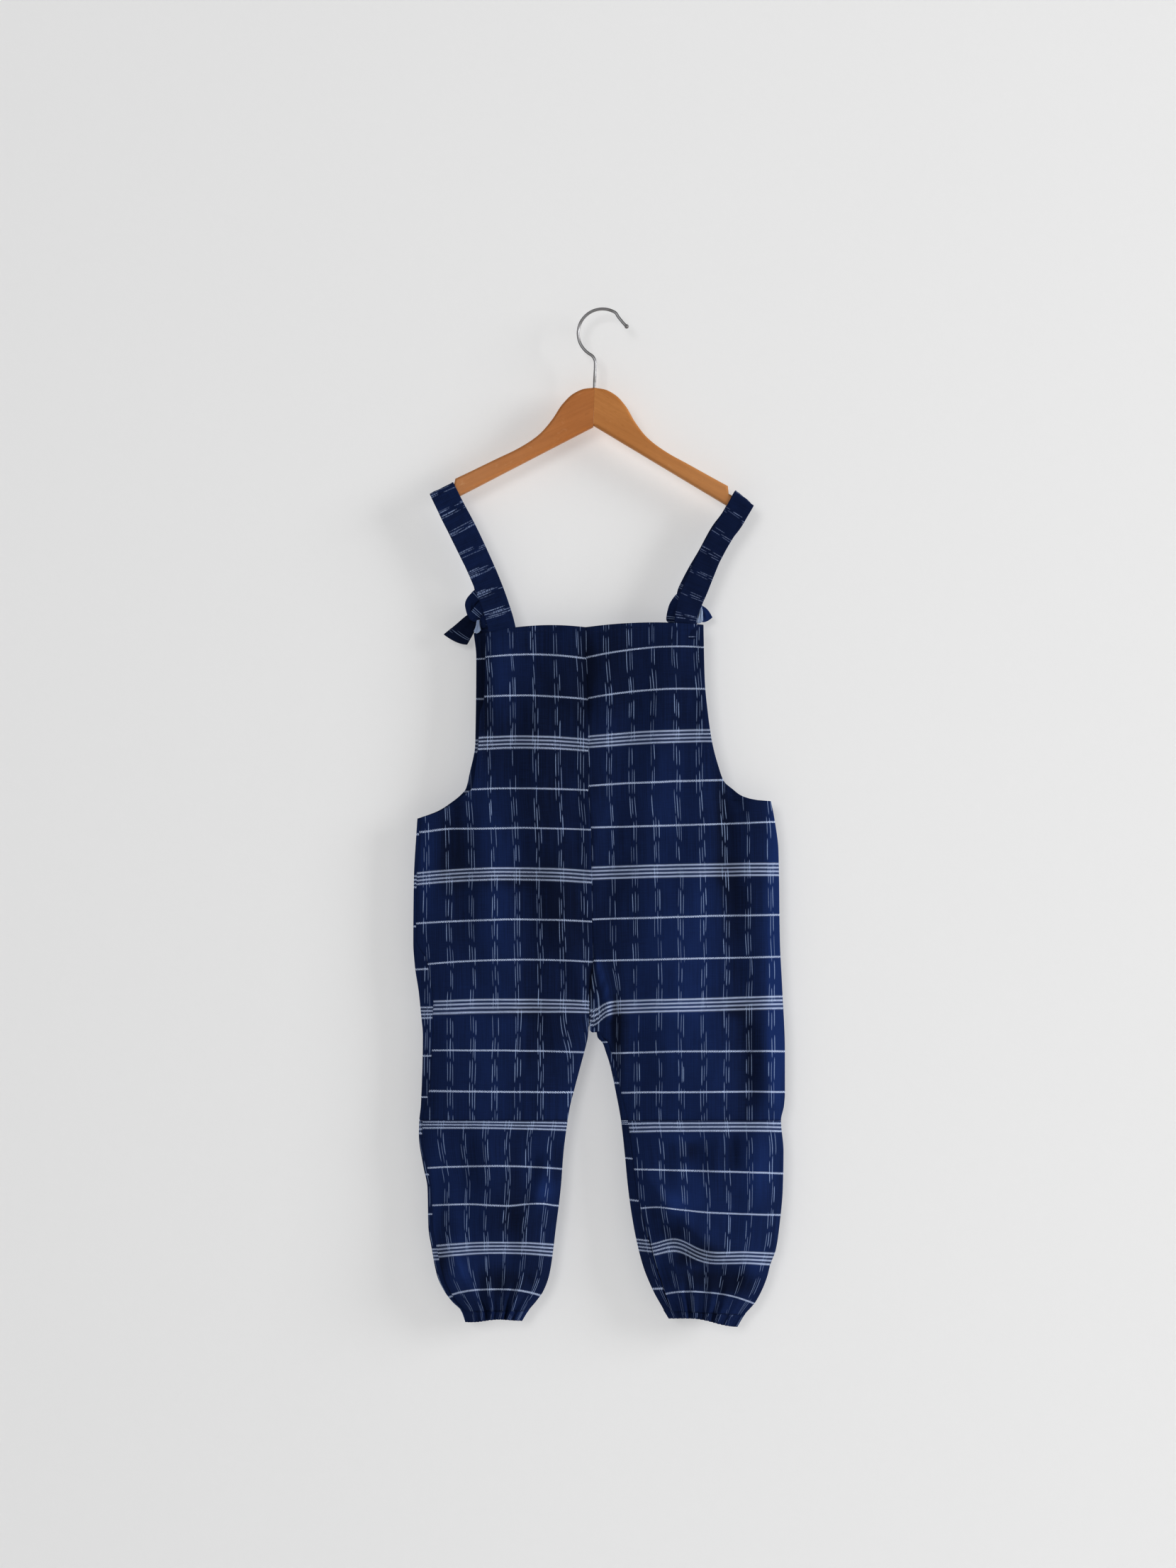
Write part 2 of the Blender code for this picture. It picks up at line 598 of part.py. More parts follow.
def through_points(points, steps):
    """A smooth line through points in a plane, by Catmull-Rom spans."""
    ends = [points[0], *points, points[-1]]
    line = []
    for p0, p1, p2, p3 in zip(ends, ends[1:], ends[2:], ends[3:]):
        for step in range(steps):
            t = step / steps
            line.append(
                tuple(
                    0.5 * (2 * b + (c - a) * t + (2 * a - 5 * b + 4 * c - d) * t**2 + (3 * b - a - 3 * c + d) * t**3)
                    for a, b, c, d in zip(p0, p1, p2, p3)
                )
            )
    return [*line, points[-1]]


def arm_top(x):
    """How far the straight outer part of an arm's upper edge lies below the top centre."""
    last_x, last_drop = ARM_TOP[-1]
    return last_drop + ARM_SLOPE * (x - last_x)


def arm_outline(side):
    """Half of the hanger, from its top centre outward and back: crown, sloping arm, shoulder step and rounded tip."""
    step_x, step_depth = ARM_NOTCH[side]
    corner_x, corner_drop = TIP_CORNER
    heel_x, heel_drop = TIP_HEEL
    tip_top = arm_top(ARM_TIP) + step_depth
    outline = through_points(ARM_TOP, 3)
    outline += [(step_x, arm_top(step_x)), (step_x + STEP_RUN, arm_top(step_x + STEP_RUN) + step_depth)]
    outline += [(ARM_TIP - corner_x, tip_top - corner_x * ARM_SLOPE), (ARM_TIP, tip_top + corner_drop)]
    outline += [(ARM_TIP, ARM_TIP_BOTTOM - heel_drop), (ARM_TIP - heel_x, ARM_TIP_BOTTOM - heel_x * ARM_SLOPE)]
    return [*outline, (0, ARM_APEX)]


def cylinder(name, radius, start, end, collection):
    mesh = bpy.data.meshes.new(name)
    bm = bmesh.new()
    bmesh.ops.create_cone(
        bm, cap_ends=True, segments=16, radius1=radius * MM, radius2=radius * MM, depth=(end - start).length
    )
    turn = (end - start).to_track_quat("Z", "Y").to_matrix().to_4x4()
    bmesh.ops.transform(bm, matrix=Matrix.Translation((start + end) / 2) @ turn, verts=bm.verts)
    bm.to_mesh(mesh)
    bm.free()
    return add_object(name, mesh, collection)


def hanger_point(x, drop):
    """A place on the tilted hanger, in the garment's frame."""
    cos, sin = math.cos(HANGER_TILT), math.sin(HANGER_TILT)
    return HANGER_TOP[0] + x * cos - drop * sin, HANGER_TOP[1] + x * sin + drop * cos


def build_hanger(collection, cutters):
    """Two mitred halves of flat timber with rounded edges, bored along their joint for the hook's shank."""
    mouth_x, mouth_drop = hanger_point(0, -BORE_RUN_OUT)
    foot_x, foot_drop = hanger_point(0, SHANK_DEPTH + BORE_END_PLAY)
    mouth, foot = at(mouth_x, 0, mouth_drop), at(foot_x, 0, foot_drop)
    bore = cylinder("shank_bore", WIRE_RADIUS + BORE_PLAY, mouth, foot, cutters)
    bore.hide_render = True
    bore.display_type = "WIRE"
    for side, outward, colour in (("left", -1, WOOD_DARK), ("right", 1, WOOD)):
        name = f"hanger_{side}"
        outline = [hanger_point(outward * max(x, SEAM_GAP / 2), drop) for x, drop in arm_outline(side)]
        mesh = bpy.data.meshes.new(name)
        bm = bmesh.new()
        face = bm.faces.new([bm.verts.new(at(x, WOOD_THICK / 2, drop)) for x, drop in outline])
        made = bmesh.ops.extrude_face_region(bm, geom=[face])
        moved = [item for item in made["geom"] if isinstance(item, bmesh.types.BMVert)]
        bmesh.ops.translate(bm, vec=(0, -WOOD_THICK * MM, 0), verts=moved)
        bmesh.ops.recalc_face_normals(bm, faces=bm.faces)
        bm.to_mesh(mesh)
        bm.free()
        obj = add_object(name, mesh, collection, material(f"varnished_beech_{side}", colour, 0.4))
        rounding = obj.modifiers.new("rounded_edges", "BEVEL")
        rounding.width = WOOD_ROUND * MM
        rounding.segments = 2
        rounding.limit_method = "ANGLE"
        rounding.angle_limit = math.radians(50)
        cut = obj.modifiers.new("bore", "BOOLEAN")
        cut.operation = "DIFFERENCE"
        cut.solver = "EXACT"
        cut.object = bore


def build_hook(collection):
    """The steel wire hook: a turned-out lead-in, half a turn, a bend back to the neck, and the shank in its bore."""
    centre_x, centre_drop = HOOK_CENTRE
    loop = [
        (centre_x + HOOK_RADIUS * math.cos(turn), 0.0, centre_drop - HOOK_RADIUS * math.sin(turn))
        for turn in np.linspace(HOOK_START, HOOK_END, HOOK_POINTS)
    ]
    start_x, _, start_drop = loop[0]
    lead_in = [(start_x + beside, 0.0, start_drop + below) for beside, below in LEAD_IN]
    end_x, _, end_drop = loop[-1]
    leaving = HOOK_END + math.pi / 2
    bend_x = end_x + NECK_RADIUS * math.sin(leaving)
    bend_drop = end_drop + NECK_RADIUS * math.cos(leaving)
    neck = [
        (bend_x + NECK_RADIUS * math.cos(turn), 0.0, bend_drop - NECK_RADIUS * math.sin(turn))
        for turn in np.linspace(leaving + math.pi / 2, 2 * math.pi, NECK_POINTS)[1:]
    ]
    shank = []
    for depth in (0.0, SHANK_DEPTH):
        x, drop = hanger_point(0, depth)
        shank.append((x, 0.0, drop))
    steel = material("steel_wire", STEEL, 0.35, 1.0)
    tube_object("hanger_hook", [*lead_in, *loop, *neck, *shank], WIRE_RADIUS, collection, steel)


def main():
    clear_scene()
    overalls = new_collection("bib_overalls_on_hanger")
    cutters = new_collection("cutters")
    cutters.hide_render = True
    build_panels(overalls)
    build_cuffs(overalls)
    build_straps(overalls)
    build_knots(overalls)
    build_hanger(overalls, cutters)
    build_hook(overalls)


main()
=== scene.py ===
"""Child's bib overalls of ikat-striped indigo cotton, hung by their knotted straps on a wooden hanger.

The garment's back faces -Y and its front +Y, X is to the right as seen from behind, and Z is up. The
origin is the rest inside the steel hook. The tables and formulas below are in millimetres: x is to the side
of the origin, drop is how far below it, and a thread is a place along the cloth's own length, counted from
the upper band of stripes.
"""

from __future__ import annotations

import logging
import math
from dataclasses import dataclass, field
from enum import Enum
from typing import Any, NamedTuple, Sequence, Union

import bmesh  # noqa: E402
import bpy  # noqa: E402
import numpy as np  # noqa: E402
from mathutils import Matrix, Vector  # noqa: E402


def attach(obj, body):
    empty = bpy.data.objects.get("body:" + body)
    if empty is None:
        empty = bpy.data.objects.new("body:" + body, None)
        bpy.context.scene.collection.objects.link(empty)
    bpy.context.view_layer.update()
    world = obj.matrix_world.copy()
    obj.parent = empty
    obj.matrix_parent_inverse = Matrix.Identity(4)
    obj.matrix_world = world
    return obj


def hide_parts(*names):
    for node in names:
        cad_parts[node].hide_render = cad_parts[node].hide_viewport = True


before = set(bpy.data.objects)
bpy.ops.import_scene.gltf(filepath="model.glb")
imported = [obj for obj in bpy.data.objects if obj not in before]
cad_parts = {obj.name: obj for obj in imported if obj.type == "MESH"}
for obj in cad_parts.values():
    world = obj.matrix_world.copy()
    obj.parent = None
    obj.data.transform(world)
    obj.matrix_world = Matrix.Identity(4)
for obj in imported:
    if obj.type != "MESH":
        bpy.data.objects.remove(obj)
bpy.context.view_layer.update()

MM = 0.001
DEPTH = np.array([0.0, 1.0, 0.0])
Array = np.ndarray
Colour = tuple[float, float, float]
Material = bpy.types.Material
Mesh = bpy.types.Mesh
Piece = bpy.types.Object
log = logging.getLogger("overalls")


class Side(Enum):
    """The garment's two halves, as seen from behind."""

    LEFT = "left"
    RIGHT = "right"

    @property
    def to_seam(self) -> float:
        """The way along X from the garment's side to its middle."""
        return 1.0 if self is Side.LEFT else -1.0


class Layer(Enum):
    """The cloth behind the wearer and the cloth before them."""

    BACK = "back"
    FRONT = "front"

    @property
    def outward(self) -> float:
        """The way this layer faces along Y."""
        return -1.0 if self is Layer.BACK else 1.0


class Level(Enum):
    """Above the knee seam and below it."""

    UPPER = "upper"
    LOWER = "lower"


class Slot(Enum):
    """The finishes' slots in the model's record."""

    CLOTH = "indigo_cotton"
    STRAP = "strap_cotton"
    KNOT = "knot_cotton"
    WOOD = "varnished_beech"
    STEEL = "steel_wire"


# ------------------------------------------------------------------------------------------- tables


class Pair(NamedTuple):
    """One value for each side of the garment."""

    left: Any
    right: Any

    def of(self, side: Side) -> Any:
        """This side's value."""
        return self.left if side is Side.LEFT else self.right


class Reach(NamedTuple):
    """How far to the side an edge lies at a drop."""

    drop: float
    x: float


class Row(NamedTuple):
    """Where a thread across the cloth meets the side and the seam, how it sags between, and how it slants."""

    thread: float
    side_drop: float
    sag: float
    inner_drop: float
    slant: float = 0.0


class Fold(NamedTuple):
    """A soft trough, or a ridge where the depth is negative, along a line on the hanging cloth."""

    x0: float
    drop0: float
    x1: float
    drop1: float
    spread: float
    depth: float


class Pull(NamedTuple):
    """A place where the threads across the cloth are drawn down by an amount, or up where it is negative."""

    x: float
    drop: float
    reach_x: float
    reach_drop: float
    amount: float


class Lean(NamedTuple):
    """A place where the threads down the cloth lean aside by an amount, from one drop to another."""

    x: float
    reach: float
    drop0: float
    drop1: float
    amount: float


class PaintedShadingPatch(NamedTuple):
    """A place where light is painted into the cloth's colour, or shade where the amount is negative."""

    x: float
    drop: float
    reach_x: float
    reach_drop: float
    amount: float


class Station(NamedTuple):
    """The middle of a strap at one place: where it lies, how it tilts and how wide it is."""

    x: float
    drop: float
    tilt: float
    width: float


class Bend(NamedTuple):
    """One place on a line of bunched cloth: where it is, and how thick it is there."""

    x: float
    y: float
    drop: float
    radius: float


def table(columns: type, *rows: tuple[float, ...]) -> list:
    """Rows of numbers under one kind's named columns."""
    return [columns(*row) for row in rows]


ARMHOLE_EDGE = {
    Side.LEFT: table(
        Reach, (323.5, -112), (389, -113.6), (405, -118), (434, -119.6), (466, -123.5), (480, -126.4),
        (485.6, -133.5), (494, -145), (502, -157.6), (509.8, -180.5),
    ),
    Side.RIGHT: table(
        Reach, (315.5, 106), (368, 107.2), (407, 110.8), (434.5, 115), (456.5, 120.7), (473, 127),
        (480, 135), (486.4, 143.4), (489.9, 153.4), (491.6, 164), (492.2, 173.5),
    ),
}
SIDE_EDGE = {
    Side.LEFT: table(
        Reach, (509.8, -180.5), (525, -181.5), (571, -184), (634, -184.6), (657, -183), (684, -179),
        (704, -177), (727, -175), (797, -177), (811.5, -178.5), (826, -179), (858, -174.5), (879, -170.4),
        (918, -169.5), (941, -166), (968, -160.5), (983, -153.4), (993, -146), (1003, -136), (1014, -132),
    ),
    Side.RIGHT: table(
        Reach, (492.2, 173.5), (510, 177), (542, 181), (634, 182.5), (677, 184.6), (743, 187.4),
        (784, 187.4), (797, 186.5), (811.5, 183.5), (843, 186), (879, 185.3), (918, 181.8), (941.5, 178.2),
        (957, 172.5), (968, 169.7), (993, 158.3), (1007, 146.5), (1019, 139.5),
    ),
}
FRONT_ARMHOLE_EDGE = {
    Side.LEFT: table(
        Reach, (324, -124), (348, -121.5), (434, -122.5), (466, -128.5), (480, -132), (486, -137),
        (494, -147), (502, -159.6), (509.8, -180.5),
    ),
    Side.RIGHT: table(
        Reach, (315.5, 101), (368, 102.2), (407, 105.8), (434.5, 110), (456.5, 115.7), (473, 124),
        (480, 133), (486.4, 142.4), (489.9, 153), (491.6, 164), (492.2, 173.5),
    ),
}
CENTRE_SEAM = table(
    Reach, (318, -12), (348, -11.5), (389, -9.6), (480, -9.2), (522, -6.5), (613, -5.5), (653, -4.5),
    (684, -8), (712.8, -8),
)
INSEAM = {
    Side.LEFT: table(
        Reach, (712.8, -9), (727, -10), (743, -13.4), (755, -16.6), (784.5, -24.4), (797, -27.6),
        (811.5, -30), (843, -34.2), (879, -37), (918, -41.8), (957, -46.8), (968, -49), (983, -54.7),
        (993, -61.8), (1003, -70), (1014, -76),
    ),
    Side.RIGHT: table(
        Reach, (712.8, -6.5), (718, -1.4), (726, 0), (733, 5), (743, 8.3), (755, 12.1), (784.5, 18.5),
        (811.5, 23.4), (843, 27), (879, 30.5), (918, 36.2), (957, 45.4), (983, 56), (1003, 67), (1014, 72),
    ),
}
CORNER_DROP = {Side.LEFT: 509.8, Side.RIGHT: 492.2}
CROTCH_DROP = 712.8
MIDDLE = (-9.6, 475.0)
CLOTH_PLANE = -6.0

# The cloth's pattern: how far apart its rows of dashes and its bands of stripes are, and a place with neither
ROW_PITCH = 22.6
BAND_REPEAT = 133.0
PLAIN_PLACE = (11.0, 66.0)

BODY_SWELL = table(Reach, (318, 7.5), (400, 8), (480, 9), (560, 10.5), (650, 11.5), (713, 12))
LEG_SWELL = table(Reach, (600, 11), (811, 12), (880, 15), (940, 18), (975, 17), (1003, 10), (1019, 8.5))
# How far the front panel rolls over onto the back: down the left side, and down the right leg's inseam
ROLL_WIDTH = {
    Side.LEFT: table(
        Reach, (508, 2), (630, 2), (655, 12), (690, 13), (713, 10), (742, 8.5), (784, 6.5), (806, 2.5),
        (858, 3), (941, 4.5), (960, 5), (1003, 2.5),
    ),
    Side.RIGHT: table(
        Reach, (713, 2), (733, 4.6), (784, 4.5), (812, 6), (858, 7), (899, 9), (941, 12.5), (967, 11.5),
        (1003, 6),
    ),
}

ROWS = {
    (Side.LEFT, Layer.BACK, Level.UPPER): table(
        Row, (-117.2, 323.5, -4.5, 318), (-88.2, 348, -3.3, 349.3), (-47.2, 387.7, -2.3, 390.5),
        (0, 434.5, -2.4, 436.3), (45, 480.7, -1.5, 481.4), (60, 494.4, -1.5, 496.5), (74, 509, -1.5, 510),
        (87, 525.2, -3.2, 522.4), (133, 570.1, -4.2, 568), (178, 615.3, -3, 613), (219, 657, -3.8, 653.6),
        (266, 699.2, -1.9, 698.2), (280, 715, -1, 711.8), (311, 742.2, -0.9, 744), (351, 781.8, 0, 783.2),
        (377, 811.96, 0, 811.96),
    ),
    (Side.RIGHT, Layer.BACK, Level.UPPER): table(
        Row, (-117.2, 315.5, -3.5, 318), (-88.2, 338.3, -4.6, 348.6), (-47.2, 379.8, -3.2, 389.3),
        (0, 426.7, -1.5, 432.8), (45, 471.4, -1, 477.1), (59.8, 489.9, -1, 492), (63.5, 492.6, -1, 495.5),
        (87, 514.4, 0.4, 520), (133, 560.6, -0.9, 564.3), (178, 606.3, -0.5, 611), (219, 648.4, 0.2, 652.3),
        (266, 693.6, -0.3, 699.4), (279, 707.4, -0.2, 712.4), (311, 743.2, -0.9, 745),
        (351, 782.6, -0.3, 783.6), (377, 811.96, 0, 811.96),
    ),
    (Side.LEFT, Layer.FRONT, Level.UPPER): table(
        Row, (-117.2, 324, -3, 318), (-88.2, 350, -2, 349.5), (-47.2, 390, 0, 390.5), (0, 437, 1, 436),
        (45, 483, 1, 481), (74, 511, 0, 509), (87, 527, 0, 522.6), (133, 573, -1, 568), (178, 618, -2, 613),
        (219, 661, 0, 653.5), (266, 704, 1, 699), (311, 747.6, 0, 743), (351, 787.9, 0, 785),
        (377, 811.96, 0, 811.96),
    ),
    (Side.RIGHT, Layer.FRONT, Level.UPPER): table(
        Row, (-117.2, 315.5, -3, 318), (-88.2, 339, -2, 349), (-47.2, 380, -2, 389), (0, 427, 0, 434),
        (45, 473, 1, 478), (63, 492.6, 0, 495.5), (87, 514, 0, 519), (133, 561, -1, 564),
        (178, 607, 0, 607, 1), (219, 650, 1, 650, 2), (266, 696.5, 0, 696, 5), (311, 745, 0, 741, 9),
        (351, 785, 0, 785, 11), (377, 811.96, 0, 811.96, 12),
    ),
    (Side.LEFT, Layer.BACK, Level.LOWER): table(
        Row, (-6.4, 810.6, 0, 810.6), (0, 814.8, -0.5, 816.2), (44.7, 860, -2.6, 860.4),
        (85.6, 897.4, -2.2, 897.5), (133, 943.8, -3.4, 941.8), (177.7, 987.7, -7.6, 987.2),
        (195, 1003, 0, 1003),
    ),
    (Side.RIGHT, Layer.BACK, Level.LOWER): table(
        Row, (-6.4, 810.6, 0, 810.6), (0, 816.8, -0.8, 817.6), (44.7, 865, -0.2, 860.6),
        (85.6, 906.7, 1, 899.5), (133, 950.4, 0.6, 942.3), (177.7, 995.2, -8, 988), (195, 1007, 0, 1003),
    ),
    (Side.LEFT, Layer.FRONT, Level.LOWER): table(
        Row, (-6.4, 810.6, 0, 810.6), (0, 818.4, 0, 817), (44.7, 866, 0, 858), (85.6, 906, 2, 898),
        (133, 946, 0, 941.5), (177.7, 989, -5, 986), (195, 1003, 0, 1003),
    ),
    (Side.RIGHT, Layer.FRONT, Level.LOWER): table(
        Row, (-6.4, 810.6, 0, 810.6), (5, 823, 0, 815), (44.7, 864.3, 0, 849.6), (85.6, 907, 1, 891.4),
        (133, 952, 0, 936.3), (177.7, 994, -5, 980.5), (195, 1007, 0, 1003),
    ),
}
PULLS = {
    (Side.RIGHT, Layer.BACK): table(
        Pull, (-5, 706, 11, 22, 11.5), (78, 940, 20, 26, -9), (112, 950, 24, 22, 2.6),
        (60, 902, 14, 16, -2),
    ),
    (Side.LEFT, Layer.BACK): table(
        Pull, (-94, 902, 26, 18, 2.5), (-60, 900, 18, 16, -1.5), (-150, 522, 16, 12, -1.2),
        (-104, 985, 22, 14, 1.5),
    ),
    (Side.RIGHT, Layer.FRONT): table(Pull, (92, 918, 24, 22, 3), (0, 708, 14, 22, 5)),
    (Side.LEFT, Layer.FRONT): table(Pull, (-110, 930, 24, 22, -3), (-14, 708, 14, 22, 5)),
}
LEANS = {
    Side.RIGHT: table(Lean, (10, 14, 648, 690, 8)),
    Side.LEFT: table(Lean, (-25, 18, 697, 752, 8)),
}
FOLDS = {
    Layer.BACK: table(
        Fold, (-14, 326, -13, 410, 7, 1.6), (-100, 335, -101, 420, 10, -1.3), (-80, 330, -84, 480, 9, 0.9),
        (-116, 360, -117, 430, 3.5, 0.8), (-42, 392, -18, 412, 6, 0.8), (-68, 400, -40, 470, 14, -1),
        (30, 330, 24, 470, 10, 0.9), (62, 330, 66, 470, 12, -0.9), (94, 320, 98, 360, 7, 0.9),
        (-145, 486, -147, 560, 9, 2.2), (-128, 480, -134, 640, 7, 1.5), (-160, 520, -163, 690, 12, -1.2),
        (-110, 500, -112, 700, 12, -1), (-78, 520, -70, 760, 11, 1.1), (-46, 540, -40, 700, 10, -0.8),
        (-20, 470, -17, 655, 9, 1.2), (-45, 640, -22, 700, 8, 1.5), (-60, 700, -38, 800, 9, 1.2),
        (-22, 655, -14, 706, 5, -1.4), (14, 470, 10, 620, 9, 0.9), (60, 545, 66, 800, 22, -1.6),
        (34, 560, 38, 760, 9, 0.8), (100, 540, 104, 800, 16, -1.2), (122, 478, 134, 560, 9, 2.4),
        (134, 560, 142, 700, 11, 3), (142, 700, 156, 800, 11, 3.2), (118, 500, 124, 640, 6, -0.9),
        (163, 560, 168, 800, 8, -1.4), (128, 474, 148, 505, 5, 1.6), (150, 500, 168, 520, 8, -1),
        (-2, 651, 9, 690, 4.5, -2.6), (9, 690, 12, 712, 4, -2), (14, 692, 20, 742, 4.5, 3.2),
        (24, 715, 25, 780, 4, -1.6), (2, 668, -2, 702, 6, 1.8), (-9, 672, -9, 706, 3, 1.2),
        (-60, 845, -76, 900, 8, 2.4), (-46, 842, -64, 905, 7, -2.2), (-110, 830, -100, 900, 14, -1.2),
        (-132, 826, -128, 950, 9, 1.2), (-86, 900, -90, 965, 9, 1.6), (-152, 850, -146, 940, 7, -1),
        (-161, 955, -134, 1003, 4.5, 2.8), (-150, 940, -126, 990, 5, -2), (-74, 965, -62, 985, 5, 1.8),
        (44, 862, 78, 908, 7, -2.4), (78, 908, 124, 946, 8, -3), (60, 908, 92, 950, 8, 2.2),
        (92, 958, 150, 972, 11, 3.2), (136, 826, 134, 862, 6, 1.8), (122, 828, 118, 866, 6, -1.2),
        (96, 830, 104, 880, 9, 1), (160, 820, 164, 930, 10, -1.6), (70, 830, 66, 880, 8, 1),
        (62, 948, 76, 1000, 5, 2.2), (50, 930, 66, 985, 5, -1.6), (140, 880, 132, 935, 10, 1.2),
    ),
    Layer.FRONT: table(
        Fold, (-16, 330, -14, 470, 9, 1.4), (-96, 330, -88, 470, 10, 1.2), (-60, 340, -58, 480, 14, -1.2),
        (34, 330, 40, 480, 12, -1.1), (72, 326, 66, 470, 9, 1.2), (-140, 490, -150, 640, 9, 2.2),
        (-112, 500, -120, 760, 13, -1.2), (-80, 520, -84, 700, 10, 1.2), (-44, 560, -34, 700, 9, -1),
        (-22, 640, -60, 740, 8, 1.8), (18, 640, 52, 745, 8, 1.8), (60, 540, 66, 800, 16, -1.4),
        (100, 500, 112, 790, 11, 1.8), (138, 484, 150, 640, 9, 2.4), (158, 600, 160, 800, 10, -1.3),
        (-130, 840, -118, 930, 9, 1.8), (-90, 830, -72, 915, 9, -1.8), (-60, 880, -82, 960, 7, 2),
        (60, 840, 92, 920, 8, 2), (110, 850, 104, 960, 10, -1.8), (148, 860, 132, 960, 8, 2),
        (-150, 950, -122, 1000, 5, 2.2), (150, 955, 126, 1000, 5, 2.2),
    ),
}

# Painted light and shade: soft patches that pale the cloth where it is lit and darken it where it lies in
# shade
PAINTED_SHADING_PATCHES = {
    Layer.BACK: table(
        PaintedShadingPatch, (-13.5, 362, 9, 52, -0.4), (-101, 366, 9, 50, 0.2), (-42, 380, 26, 45, -0.3),
        (20, 360, 16, 60, -0.22), (78, 340, 34, 40, -0.1), (-139, 547, 9, 76, -0.42),
        (-171, 560, 8, 70, 0.3), (-44, 560, 34, 100, -0.28), (-100, 600, 16, 120, 0.22),
        (-96, 440, 22, 40, -0.2), (60, 470, 30, 44, 0.1), (84, 660, 42, 120, 0.34),
        (30, 620, 14, 100, -0.12), (134, 600, 13, 84, -0.44), (152, 752, 13, 60, -0.44),
        (177, 600, 8, 150, 0.9), (180, 740, 8, 60, 0.75), (20, 730, 9, 40, -0.3), (40, 740, 12, 60, 0.18),
        (-58, 730, 16, 60, -0.26), (-120, 740, 26, 60, 0.18), (-34, 700, 9, 30, -0.2),
        (-55, 882, 13, 12, 0.55), (-82, 890, 12, 40, -0.36), (-40, 850, 8, 26, -0.3),
        (-120, 900, 26, 60, 0.16), (-157, 955, 5, 24, -0.4), (-66, 950, 14, 24, -0.24),
        (129, 978, 28, 11, -0.5), (92, 880, 26, 40, 0.18), (60, 905, 9, 22, -0.32),
        (128, 846, 12, 26, -0.22), (150, 900, 14, 40, 0.24), (66, 985, 10, 18, -0.26),
        (160, 850, 12, 30, 0.22), (-160, 862, 10, 30, 0.35), (80, 924, 18, 10, -0.45),
        (104, 944, 22, 9, -0.5), (137, 970, 26, 12, -0.3), (99, 968, 22, 9, -0.4), (77, 893, 22, 10, 0.35),
        (88, 829, 20, 6, 0.3), (94, 843, 9, 10, -0.35), (162, 872, 12, 30, 0.25), (69, 988, 10, 9, 0.3),
        (157, 958, 8, 16, 0.35), (-138, 966, 10, 18, 0.55), (-96, 972, 30, 14, -0.45),
        (-98, 915, 26, 20, -0.25), (-164, 915, 6, 26, 0.35), (-111, 376, 6, 60, -0.35),
        (-10, 380, 150, 130, -0.12), (92, 900, 130, 150, 0.12), (-20, 640, 40, 120, -0.12),
        (124, 520, 6, 50, -0.5), (-153, 543, 6, 38, -0.4), (-143, 935, 11, 8, 0.2),
        (-90, 571, 40, 8, -0.35), (-84, 701, 30, 8, -0.35), (76, 698, 30, 8, 0.35), (140, 701, 14, 8, -0.4),
        (129, 562, 10, 12, -0.5), (87, 952, 13, 7, -0.4), (0.5, 659, 2.5, 8, 0.7), (4, 671, 2.5, 8, 0.7),
        (8.5, 684, 2.5, 9, 0.8), (13, 699, 2.5, 9, 0.5), (-6, 676, 3, 16, -0.6), (19, 712, 4, 20, -0.7),
    ),
    Layer.FRONT: table(
        PaintedShadingPatch, (-118, 380, 12, 60, -0.4), (-80, 560, 30, 110, 0.22), (60, 600, 34, 110, 0.24),
        (-14, 640, 12, 90, -0.3), (120, 700, 16, 90, -0.28), (-140, 700, 14, 90, -0.24),
        (60, 900, 20, 50, -0.2), (-110, 900, 24, 50, 0.2),
    ),
}

BACK_STRAP = {
    Side.LEFT: table(
        Station, (-154.4, 182.8, 27, 26.5), (-150.9, 190, 26, 26.6), (-145.9, 200, 25, 26.8),
        (-134.8, 221, 24, 27), (-122.7, 246.5, 23, 27), (-110.7, 274, 22, 27), (-102.6, 295.7, 20, 27),
        (-97, 314.5, 16, 27.4), (-95, 326, 12, 28), (-94.5, 334, 12, 28),
    ),
    Side.RIGHT: table(
        Station, (144.9, 192.4, -40, 24), (141.6, 198.4, -36, 23.6), (135.6, 208.2, -31, 23.2),
        (127.2, 221, -29, 22.6), (112.4, 246.5, -26, 23.2), (104.3, 264.7, -24.5, 24.2),
        (97.8, 280, -23, 25), (93, 291.7, -21, 24.4), (90, 301, -18, 23), (88, 311, -14, 22),
        (87.2, 322, -8, 23), (87, 329, -6, 24),
    ),
}
FRONT_STRAP = {
    Side.LEFT: table(
        Station, (-154.1, 183.4, 27, 26.5), (-150.4, 191, 26, 26.6), (-146.2, 200, 25, 26.8),
        (-135.6, 221, 24, 27), (-124.2, 246.5, 23, 25), (-116, 268, 20, 20), (-116, 285, 12, 14),
    ),
    Side.RIGHT: table(
        Station, (144.4, 193.2, -40, 24), (141, 199, -36, 24), (134.8, 209.5, -32, 24),
        (125.8, 221.5, -29, 24), (112, 246.4, -29, 24), (102.4, 262.7, -29, 24), (93, 281, -28, 24),
        (89, 290, -24, 21),
    ),
}


# --------------------------------------------------------------------------------------- arithmetic


def cut_at(piece_number: float) -> Array:
    """Where a piece is cut, across and along the cloth: whole repeats on, so that each has its own slubs."""
    return np.array([ROW_PITCH * 9, BAND_REPEAT * 4]) * piece_number


def ease(value: Array) -> Array:
    """A smooth step from 0 to 1: three times the square less twice the cube."""
    held = np.clip(value, 0.0, 1.0)
    return held * held * (3.0 - 2.0 * held)


def bell(value: Array) -> Array:
    """A bell curve, 1 at 0 and small past 2: e to the minus square."""
    return np.exp(-(value**2))


